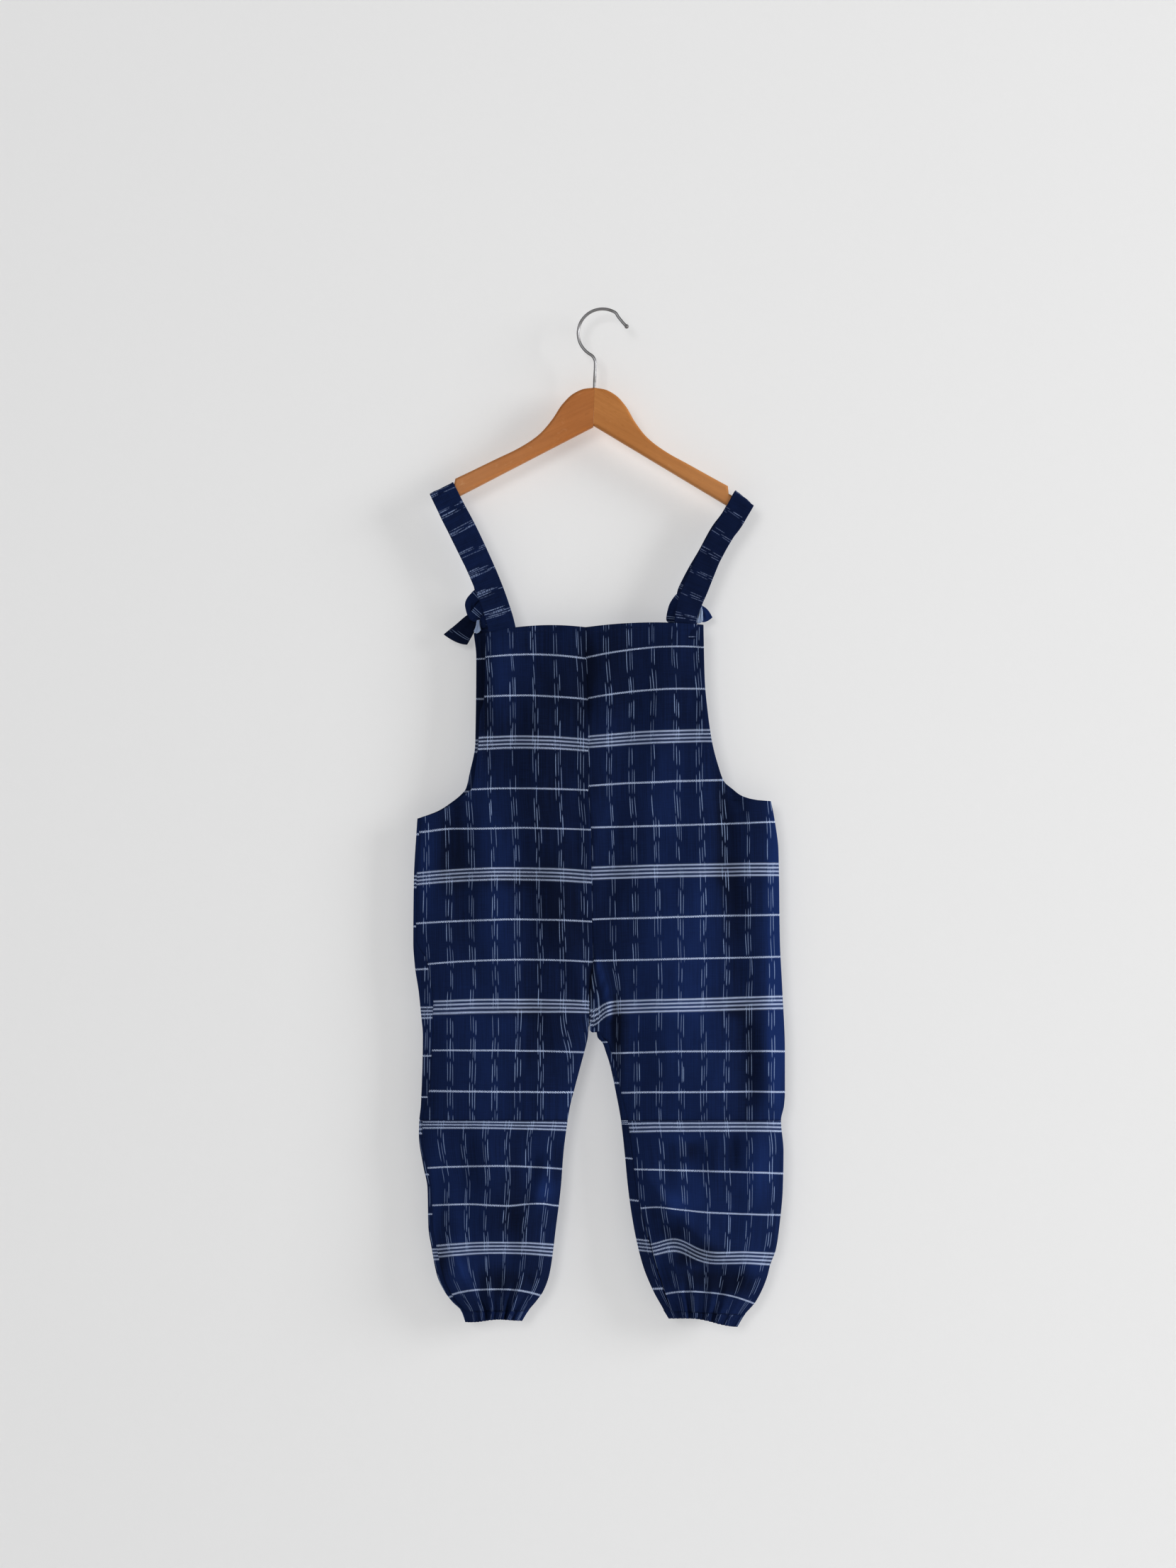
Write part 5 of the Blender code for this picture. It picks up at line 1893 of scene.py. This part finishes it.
@dataclass
class Knot:
    """The knot at the front bib's corner: bunched turns of strap, its free end and the short tie."""

    side: Side
    number: float
    core: Bend
    turns: list[list[Bend]]
    inner_turns: list[list[Bend]]
    tail: list[Station]
    tie: list[Station]
    turned_out: list[Station]
    # Painted light on the tail's colour where this is above 0, and painted shade where it is below
    tail_painted_shading: float = 0.0
    tail_flare: float = 2.2
    cloth_thickness: float = 1.0
    creases: tuple[tuple[float, float, float], ...] = ((0.20, 4.4, 0.2), (0.14, 5.3, 0.16), (0.12, 1.9, 0.2))
    bunch_girth: float = 5.0
    bunch_place: tuple[float, float] = (-10.0, 50.0)
    least_width: float = 10.0

    @property
    def stem(self) -> str:
        """How the names of the knot's pieces begin."""
        return f"knot_{self.side.value}"

    def roll(self, bends: Sequence[Bend]) -> tuple[Array, Array]:
        """One roll of bunched cloth along a line, creased lengthwise by its folds.

        Its section is a circle whose radius waves round it, and the waves turn slowly along the roll.

        Args:
            bends: The line's places.

        Returns:
            The points as x, y and drop, and the cloth's own places, with one more column.
        """
        line = evened(np.array(bends, float), 64)
        path, radius = line[:, :3], line[:, 3]
        along = lengths_along(path)[:, None]
        turn = np.linspace(0, 2 * math.pi, 40, endpoint=False)
        size = 1 + 0.10 * np.cos(3 * turn + along * 0.12) + 0.08 * np.cos(5 * turn - along * 0.20 + 1.0)
        for depth, place, reach in self.creases:
            size = size - depth * bell((turn - place) / reach)
        ends = np.sqrt(np.clip(1 - np.abs(np.linspace(-1, 1, len(path))) ** 14, 0.02, 1))
        size = size * (radius * ends)[:, None]
        circle = np.stack([np.cos(turn), 0.82 * np.sin(turn)], axis=1)
        heading = unit(np.gradient(path, axis=0))
        points = sweep(path, *beside_and_above(heading), circle * size[..., None])
        across, down = self.bunch_place
        around = np.append(turn, 2 * math.pi) * self.bunch_girth
        cloth = np.broadcast_arrays(along + cut_at(self.number)[0] + across, around + down)
        return points, np.stack(cloth, axis=-1)

    def bunched(self, part: str, rolls: Sequence[Sequence[Bend]], cotton: Material) -> Piece:
        """Rolls of bunched cloth as one piece.

        Args:
            part: Which part of the knot they are.
            rolls: Each roll's line.
            cotton: Its material.

        Returns:
            The piece.
        """
        name = f"{self.stem}_{part}_cloth"
        whole = bmesh.new()
        for bends in rolls:
            points, cloth = self.roll(bends)
            one = surface_mesh(name, points, cloth, closed=True)
            whole.from_mesh(one)
            bpy.data.meshes.remove(one)
        mesh = bpy.data.meshes.new(name)
        whole.to_mesh(mesh)
        whole.free()
        close_ends(mesh)
        return new_piece(name, mesh, cotton, Slot.KNOT, f"{self.stem}_{part}")

    def flap(self, stations: Sequence[Station], depths: Array, flare: float) -> tuple[Array, Array]:
        """A short flat end of strap: straight across at each station, waved along its length.

        Args:
            stations: The end's stations.
            depths: Its depth at each.
            flare: How far it waves at its free end.

        Returns:
            The points as x, y and drop, and the cloth's own places.
        """
        line = evened(np.insert(np.array(stations, float), 1, depths, axis=1), 34)
        tilt, half = np.radians(line[:, 3:4]), line[:, 4:] / 2
        place = np.linspace(-1, 1, 25)
        along = lengths_along(line[:, :3])[:, None]
        share = along / along[-1]
        bow = -2.9 * share * (place**2 - 0.4)
        x = line[:, :1] + place * half * np.cos(tilt) - bow * np.sin(tilt)
        drop = line[:, 2:3] - place * half * np.sin(tilt) + bow * np.cos(tilt)
        wave = flare * share * np.sin(2.4 * place + 0.9) * 0.5 + (1 - share) * 0.8 * np.cos(7 * place)
        cloth = np.stack(np.broadcast_arrays(along, place * 14 + PLAIN_PLACE[1]), axis=-1)
        return np.stack([x, line[:, 1:2] + wave, drop], axis=-1), cloth + cut_at(self.number)

    def cut(self, stations: Sequence[Station], layers: int) -> None:
        """Works out a flat end's cut without passing it on: its area is its mean width times its length,
        times its layers.

        Args:
            stations: Its stations.
            layers: How many layers of it lie there.
        """
        widths = [station.width for station in stations]
        length = lengths_along(np.array(stations)[:, :2])[-1] * MM
        wide, long = max(self.least_width, *widths) * MM, max(length, self.least_width * MM)
        area = sum(widths) / len(widths) * MM * length * layers
        area = min(max(area, 0.31 * wide * long), wide * long)

    def build(self, cotton: Material, lining: Material) -> list[Piece]:
        """Builds the knot's pieces.

        Args:
            cotton: Their material.
            lining: The pale material of the flap that a fold turns out.

        Returns:
            The pieces.
        """
        pieces = [self.bunched("wrap", self.turns, cotton), self.bunched("core", self.inner_turns, cotton)]
        depth = self.core.y
        tail_depths = depth - 1.0 - 0.15 * np.arange(len(self.tail))
        end = self.tie[-1]
        outside = float(FORM.stand_off(self.side, Layer.FRONT, np.array(end.x), np.array(end.drop))) + 1.3
        tie_depths = np.array([outside + (depth - outside) * 0.9, *[outside] * (len(self.tie) - 1)])
        folded = np.linspace(1.0, 0.4, len(self.turned_out))
        parts = (
            ("tail", self.tail, tail_depths, self.tail_flare, self.tail_painted_shading, cotton),
            ("tie", self.tie, tie_depths, 0.2, 0.0, cotton),
            ("turned_out", self.turned_out, folded, 0.6, 0.0, lining),
        )
        for part, stations, depths, flare, painted_shading, finish in parts:
            name = f"{self.stem}_{part}"
            points, cloth = self.flap(stations, depths, flare)
            nodes = [name] if finish is cotton else []
            mesh = surface_mesh(name, points, cloth, painted_shading=painted_shading)
            piece = new_piece(f"{name}_cloth", mesh, finish, Slot.KNOT, *nodes)
            give_wall(piece, self.cloth_thickness)
            self.cut(stations, layers=1 if nodes else 2)
            pieces.append(piece)
        return pieces


# ---------------------------------------------------------------------------------------- stitching


@dataclass
class Stitching:
    """Rows of sewing thread: short stitches, each a thin six-sided grain with pointed ends."""

    name: str
    hem: Hem = HEM
    runs: list[tuple[Array, Array]] = field(default_factory=list)

    def along(self, line: Array) -> None:
        """Adds stitches along a line of points on the cloth.

        Args:
            line: The line's points as x, y and drop, close together.
        """
        length = lengths_along(line)
        starts = np.arange(0.5, length[-1] - self.hem.stitch, self.hem.stitch + self.hem.gap)
        first = np.stack([np.interp(starts, length, line[:, k]) for k in range(3)], axis=1)
        last = np.stack([np.interp(starts + self.hem.stitch, length, line[:, k]) for k in range(3)], axis=1)
        self.runs.append((first, last))

    def build(self, thread: Material) -> Piece:
        """Builds every stitch as part of one piece.

        Args:
            thread: Its material.

        Returns:
            The piece.
        """
        first = np.vstack([run[0] for run in self.runs])
        last = np.vstack([run[1] for run in self.runs])
        beside, above = beside_and_above(unit(last - first))
        turn = np.linspace(0, 2 * math.pi, 6, endpoint=False)[:, None]
        ring = self.hem.thread * (np.cos(turn) * beside[:, None] + np.sin(turn) * above[:, None])
        taper = 0.18 * (last - first)[:, None]
        first, last = first[:, None], last[:, None]
        points = np.concatenate([first, first + taper + ring, last - taper + ring, last], axis=1)
        here = np.arange(6)
        after = (here + 1) % 6
        start_tips = np.stack([0 * here, 1 + after, 1 + here], axis=1)
        end_tips = np.stack([13 + 0 * here, 7 + here, 7 + after], axis=1)
        sides = np.stack([1 + here, 1 + after, 7 + after, 7 + here], axis=1)
        offsets = (np.arange(len(first)) * 14)[:, None, None]
        tips = (np.concatenate([start_tips, end_tips]) + offsets).reshape(-1, 3)
        faces = tips.tolist() + (sides + offsets).reshape(-1, 4).tolist()
        return new_piece(self.name, new_mesh(self.name, points, faces), thread, Slot.CLOTH)


def hem_line(panel: Panel, inset: float) -> Array:
    """The line of a bib panel's stitching on the cloth's outer face, a distance in from its free edge.

    Args:
        panel: The panel.
        inset: That distance.

    Returns:
        The line's points as x, y and drop.
    """
    edge = panel.free_edge()
    heading = unit(np.gradient(edge, axis=0))
    inside = np.stack([-heading[:, 1], heading[:, 0]], axis=1) * -panel.side.to_seam
    moved = edge + inside * inset
    clear = away_from_line(moved[:, 0], moved[:, 1], edge) > 0.9 * inset
    moved = moved[clear & (np.abs(moved[:, 0] - edge[0, 0]) > 1.0)]
    stand = FORM.stand_off(panel.side, panel.layer, moved[:, 0], moved[:, 1]) + panel.cloth_thickness / 2
    return drawn_in(np.insert(moved, 1, panel.layer.outward * (stand - 0.03), axis=1))


# --------------------------------------------------------------------------------------- the hanger


@dataclass
class Hanger:
    """A child's wooden hanger: two mitred halves of flat timber with rounded edges, and a steel wire hook."""

    thickness: float = 11.0
    rounding: float = 3.0
    tilt: float = math.radians(1.6)
    top: tuple[float, float] = (-3.1, 77.4)
    joint_gap: float = 0.05
    crown: tuple[tuple[float, float], ...] = (
        (0, 0), (10, 1.4), (21, 6.6), (32.6, 18.6), (41.2, 32.6), (54.2, 48.4), (73.7, 62.4), (96, 74),
        (120, 86.5),
    )
    notch: Pair = Pair((137.0, 4.9), (136.6, 7.2))
    slope: float = 0.51
    apex: Pair = Pair(39.1, 37.6)
    tip: float = 155.0
    tip_bottom: float = 124.9
    wire: float = 1.5
    bead: float = 2.2
    hook_radius: float = 24.5
    hook_centre: tuple[float, float] = (5.0, 22.4)
    hook_start: float = math.radians(58)
    hook_end: float = math.radians(240)
    neck_radius: float = 10.0
    shank: float = 21.0

    def placed(self, x: Array, drop: Array) -> tuple[Array, Array]:
        """Places on the tilted hanger, in the garment's frame."""
        cos, sin = math.cos(self.tilt), math.sin(self.tilt)
        return self.top[0] + x * cos - drop * sin, self.top[1] + x * sin + drop * cos

    def outline(self, side: Side) -> Array:
        """Half of the hanger, from its top centre out along its upper edge and back along its lower one.

        Args:
            side: Which half.

        Returns:
            The corners, to the side of the joint and below the top.
        """
        crown = np.array(self.crown, float)
        top_x = np.concatenate([np.linspace(0, 60, 34), np.linspace(62, 120, 14)])
        top_drop = through(crown[:, 0], crown[:, 1], top_x)
        last_x, last_drop = crown[-1]
        step_x, step_depth = self.notch.of(side)
        arm_x = np.linspace(last_x + 4, step_x, 4)
        arm = np.stack([arm_x, last_drop + self.slope * (arm_x - last_x)], axis=1)
        shoulder = last_drop + self.slope * (step_x + 1 - last_x) + step_depth
        tip_top = last_drop + self.slope * (self.tip - last_x) + step_depth
        turn = np.linspace(0, math.pi / 2, 5)
        corner = np.stack([self.tip - 3 + 3 * np.sin(turn), tip_top + 2 - 3.4 * np.cos(turn)], axis=1)
        heel = np.stack([self.tip - 3 + 3 * np.cos(turn), self.tip_bottom - 4 + 3 * np.sin(turn)], axis=1)
        low = np.linspace(self.tip - 6, 0.0, 40)
        apex = self.apex.of(side)
        lower = np.stack([low, apex + (self.tip_bottom - apex) / self.tip * low], axis=1)
        middle = np.stack([np.zeros(8), np.linspace(apex, 0, 10)[1:-1]], axis=1)
        top = np.stack([top_x, top_drop], axis=1)
        return np.vstack([top, arm, [[step_x + 1, shoulder]], corner, heel, lower, middle])

    def half(self, side: Side, wood: Material) -> Piece:
        """One half of the hanger: its outline carried round a quarter circle at both faces.

        Each ring is the outline moved in along its own normals by the radius less its cosine, and the last
        rings lie on the flat faces.

        Args:
            side: Which half.
            wood: Its material.

        Returns:
            The piece.
        """
        outline = self.outline(side)
        joint = outline[:, 0] < 1e-6
        heading = unit(np.roll(outline, -1, axis=0) - np.roll(outline, 1, axis=0))
        inward = np.stack([-heading[:, 1], heading[:, 0]], axis=1)
        turn = np.linspace(0, math.pi / 2, 6)
        insets = np.append(self.rounding * (1 - np.cos(turn)), self.rounding + 0.5)
        depths = self.thickness / 2 - np.append(self.rounding * (1 - np.sin(turn)), 0.0)
        insets = np.concatenate([insets[::-1], insets])
        depths = np.concatenate([-depths[::-1], depths])
        rings = outline + inward * insets[:, None, None]
        rings[:, joint, 0] = 0.0
        x, drop = self.placed(-side.to_seam * np.maximum(rings[..., 0], self.joint_gap / 2), rings[..., 1])
        points = np.stack(np.broadcast_arrays(x, depths[:, None], drop), axis=-1)
        name = f"hanger_{side.value}"
        mesh = rod_mesh(f"{name}_wood", points, turned=side is Side.LEFT)
        mesh.set_sharp_from_angle(angle=math.radians(50))
        return new_piece(f"{name}_wood", mesh, wood, Slot.WOOD, name)

    def wire_path(self) -> Array:
        """The hook's middle line: the turned-out end, the bend over the rail, the neck and the shank.

        Returns:
            Its points as x, y and drop.
        """
        centre_x, centre_drop = self.hook_centre
        turn = np.linspace(self.hook_start, self.hook_end, 60)
        loop_x = centre_x + self.hook_radius * np.cos(turn)
        loop_drop = centre_drop - self.hook_radius * np.sin(turn)
        lead = np.array([[12.9, 15.4], [10.6, 13.2], [8.4, 11.0], [6.0, 8.2], [3.0, 4.4]])
        lead = lead + [loop_x[0], loop_drop[0]]
        leaving = self.hook_end + math.pi / 2
        bend_x = loop_x[-1] + self.neck_radius * math.sin(leaving)
        bend_drop = loop_drop[-1] + self.neck_radius * math.cos(leaving)
        bend = np.linspace(leaving + math.pi / 2, 2 * math.pi, 14)[1:]
        neck_x = bend_x + self.neck_radius * np.cos(bend)
        neck_drop = bend_drop - self.neck_radius * np.sin(bend)
        shank_x, shank_drop = self.placed(np.zeros(8), np.linspace(-6, self.shank, 8))
        x = np.concatenate([lead[:, 0], loop_x, neck_x, shank_x])
        drop = np.concatenate([lead[:, 1], loop_drop, neck_drop, shank_drop])
        return evened(np.stack([x, 0 * x, drop], axis=1), 190)

    def hook(self, steel: Material) -> Piece:
        """The wire hook, with the small bead at its free end.

        Args:
            steel: Its material.

        Returns:
            The piece.
        """
        path = self.wire_path()
        along = lengths_along(path)
        bead = np.sqrt(np.clip(self.bead**2 - (along - self.bead) ** 2, 0.0, None))
        neck = np.where(along > self.bead, self.wire, 0.05)
        radius = np.where(along < 2 * self.bead, np.maximum(bead, neck), self.wire)
        turn = np.linspace(0, 2 * math.pi, 18, endpoint=False)
        circle = np.stack([np.cos(turn), np.sin(turn)], axis=1)
        heading = unit(np.gradient(path, axis=0))
        rings = sweep(path, *beside_and_above(heading), circle * radius[:, None, None])
        return new_piece("hanger_hook_wire", rod_mesh("hanger_hook", rings), steel, Slot.STEEL, "hanger_hook")


# --------------------------------------------------------------------------------------- the studio


@dataclass
class Studio:
    """The pale wall behind, the floor below, three soft lights, and the camera straight on."""

    scale: float = 0.71
    height_pixels: float = 2212.0
    lens: float = 50.0
    sensor: float = 36.0
    wall_gap: float = 0.024
    floor_drop: float = 1.55
    target: tuple[float, float, float] = (0.0, 0.0, -0.5)
    contrast: float = 0.78

    def plane(self, name: str, corners: Sequence[tuple[float, float, float]], paint: Material) -> None:
        """Adds one flat staged surface.

        Args:
            name: Its name.
            corners: Its four corners, in metres.
            paint: Its material.
        """
        mesh = bpy.data.meshes.new(name)
        mesh.from_pydata(corners, [], [(0, 1, 2, 3)])
        mesh.materials.append(paint)
        linked(name, mesh)

    def area(self, name: str, place: Sequence[float], size: tuple[float, float], power: float) -> None:
        """Adds a soft white rectangular light at a place, turned to the garment.

        Args:
            name: The light's name.
            place: Where it stands, in metres.
            size: Its width and height, in metres.
            power: Its power in watts.
        """
        data = bpy.data.lights.new(name, "AREA")
        data.shape = "RECTANGLE"
        data.size, data.size_y = size
        data.energy = power
        lamp = linked(name, data)
        lamp.location = place
        lamp.rotation_euler = (Vector(self.target) - Vector(place)).to_track_quat("-Z", "Y").to_euler()

    def build(self) -> None:
        """Builds the wall, the floor, the lights and the camera."""
        wall = OneSidedWall(PlainSurface("wall_paint", (0.50, 0.50, 0.50), glow=0.362, lean=0.24)).material()
        floor = PlainSurface("floor_paint", (0.72, 0.72, 0.72)).material()
        back, low = self.wall_gap, -self.floor_drop
        self.plane("wall", [(-4, back, low), (4, back, low), (4, back, 2.2), (-4, back, 2.2)], wall)
        self.plane("floor", [(-4, -5, low), (4, -5, low), (4, 5, low), (-4, 5, low)], floor)
        self.area("window", (6.4, -2.5, 1.1), (2.4, 3.0), 300.0)
        self.area("room", (-1.3, -4.0, 0.6), (1.4, 1.4), 46.0)
        self.area("back_fill", (0.8, 3.0, 0.6), (2.6, 2.2), 60.0)
        scene = bpy.context.scene
        scene.world = bpy.data.worlds.new("studio")
        scene.world.use_nodes = True
        sky = scene.world.node_tree.nodes["Background"].inputs
        sky["Color"].default_value = (1.0, 1.0, 1.0, 1.0)
        sky["Strength"].default_value = 0.35
        data = bpy.data.cameras.new("camera")
        data.lens = self.lens
        data.sensor_width = self.sensor
        scene.camera = linked("camera", data)
        distance = self.lens / self.sensor * self.height_pixels * self.scale
        scene.camera.location = (MIDDLE[0] * MM, (CLOTH_PLANE - distance) * MM, -MIDDLE[1] * MM)
        scene.camera.rotation_euler = (math.radians(90), 0, 0)
        scene.view_settings.view_transform = "Standard"
        scene.view_settings.gamma = self.contrast


# --------------------------------------------------------------------------------------------- main

KNOTS = {
    Side.LEFT: {
        "core": Bend(-118.0, 9.5, 300.5, 6.6),
        "turns": [
            table(
                Bend, (-111, 8.6, 284, 4.4), (-117, 8.2, 283.4, 5.4), (-123.5, 8, 287.5, 6.2),
                (-127.6, 8, 295, 6), (-127, 8.6, 302.5, 5), (-122.5, 9.6, 307.5, 4.2),
            )
        ],
        "inner_turns": [
            table(
                Bend, (-107, 8.6, 286, 6.2), (-111, 8.4, 291, 8), (-114, 8, 298.5, 8.6),
                (-113.5, 8, 307, 8.2), (-112, 8, 314, 7.2), (-111.5, 8.2, 319, 5.4),
            ),
            table(
                Bend, (-127, 4.8, 310.5, 4), (-123, 3.8, 305, 5.4), (-117.5, 3.2, 299, 6.2),
                (-112, 3.4, 294, 5.6), (-108, 4.4, 290.5, 4.6),
            ),
        ],
        "tail": table(
            Station, (-123.6, 308.4, -58, 15), (-127.8, 313, -55, 17), (-134.4, 321.4, -40, 20),
            (-142.6, 331, -23, 25.4),
        ),
        "tie": table(Station, (-116, 316.4, 6, 11), (-114, 321, 4, 13), (-112, 336, 0, 14)),
        # Painted shade darkens the left tail
        "tail_painted_shading": -0.5,
        "turned_out": table(
            Station, (-119.9, 310.2, 12, 2.6), (-120.4, 317, 10, 4.2), (-121, 322.6, 8, 7.4),
        ),
    },
    Side.RIGHT: {
        "core": Bend(92.5, 9.5, 302.5, 6.6),
        "turns": [
            table(
                Bend, (91, 8.8, 282, 4.4), (85.5, 8.4, 286.5, 5.4), (79.8, 8.4, 292.5, 6),
                (77, 8.4, 299, 6.1), (75.2, 8.6, 307, 6.1), (74.8, 9, 313, 5.2),
            )
        ],
        "inner_turns": [
            table(
                Bend, (90.5, 9.5, 289.5, 5.4), (93.5, 8.4, 294, 6.6), (95.5, 8, 300.5, 7.2),
                (95, 8, 307, 6.8), (92, 8.2, 313, 5.4),
            ),
            table(Bend, (101, 4.6, 297, 3.4), (98, 3.8, 302, 4.6), (93, 3.6, 307, 5), (88, 4.6, 310, 4)),
        ],
        "tail": table(Station, (101.5, 297.2, 42, 8), (105.4, 302.4, 34, 11), (108.8, 310.4, 14, 13.5)),
        "tie": table(Station, (93.5, 312.8, -6, 11), (93, 318, -4, 13), (92, 333, 0, 14)),
        "turned_out": table(
            Station, (103.8, 297.4, 6, 1.2), (103.6, 302, 8, 3.4), (102.8, 307.5, 6, 5.6),
            (101.6, 312.6, 2, 8.6),
        ),
        "tail_painted_shading": 0.8,
    },
}


def build_cloth() -> list[Piece]:
    """Builds the panels, the cuffs, the straps with their knots, and the stitching.

    Returns:
        The pieces.
    """
    cotton = KasuriCotton().material()
    left_strap = KasuriCotton(
        name="indigo_kasuri_left_strap", dash=(0.34, 0.42, 0.61), yarns=13, beside=2.5, dash_repeat=36.0,
        dash_half=0.44, dash_edge=0.8, broken=0.8,
    )
    right_strap = KasuriCotton(
        name="indigo_kasuri_right_strap", faded_and_painted_light=(0.0150, 0.0320, 0.1050), dash=(0.28, 0.34, 0.50), yarns=10,
        dash_repeat=16.0, dash_half=0.32, dash_edge=0.6, broken=0.6,
    )
    strap_cottons = Pair(left_strap.material(), right_strap.material())
    knot_cotton = KasuriCotton(name="indigo_kasuri_knots", yarns=11, dash_repeat=60.0, dash_half=0.30)
    # The knots' turned-out flaps get a pale blue-white kasuri
    pale_flap_cotton = KasuriCotton(name="undyed_lining", ground=(0.30, 0.38, 0.55), faded_and_painted_light=(0.52, 0.60, 0.74))
    knot_finishes = (knot_cotton.material(), pale_flap_cotton.material())
    pieces = []
    stitching = Stitching("hem_stitches")
    number = 1.0
    for level in Level:
        for layer in Layer:
            for side in Side:
                panel = Panel(side, layer, level, number)
                pieces.append(panel.build(cotton))
                if level is Level.UPPER:
                    stitching.along(hem_line(panel, HEM.width - 1.0))
                number += 1.0
    for side in Side:
        pieces.append(Cuff(side, number).build(cotton))
        number += 1.0
    for side in Side:
        knot = Knot(side, number, **KNOTS[side]).build(*knot_finishes)
        pieces += [*knot, Strap(side, number + 1.0).build(strap_cottons.of(side), knot[:2])]
        number += 2.0
    pieces.append(stitching.build(Thread().material()))
    return pieces


def build_hanger() -> list[Piece]:
    """Builds the hanger's two halves, with the grain along each arm's slope, and its hook.

    Returns:
        The pieces.
    """
    hanger = Hanger()
    slope, tilt = math.radians(27), math.radians(2)
    left = VarnishedBeech("beech_left", slope - tilt, deep=(0.41, 0.158, 0.042), light=(0.575, 0.248, 0.078))
    right = VarnishedBeech("beech_right", -slope - tilt)
    return [
        hanger.half(Side.LEFT, left.material()),
        hanger.half(Side.RIGHT, right.material()),
        hanger.hook(SteelWire().material()),
    ]


def main() -> None:
    """Builds the hanger, the cloth and the studio, and reports each piece."""
    logging.basicConfig(level=logging.INFO, format="%(name)s: %(message)s")
    for piece in [*build_hanger(), *build_cloth()]:
        log.info("%s: %d faces", piece.name, len(piece.data.polygons))
    Studio().build()
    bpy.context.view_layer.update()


if __name__ == "__main__":
    main()
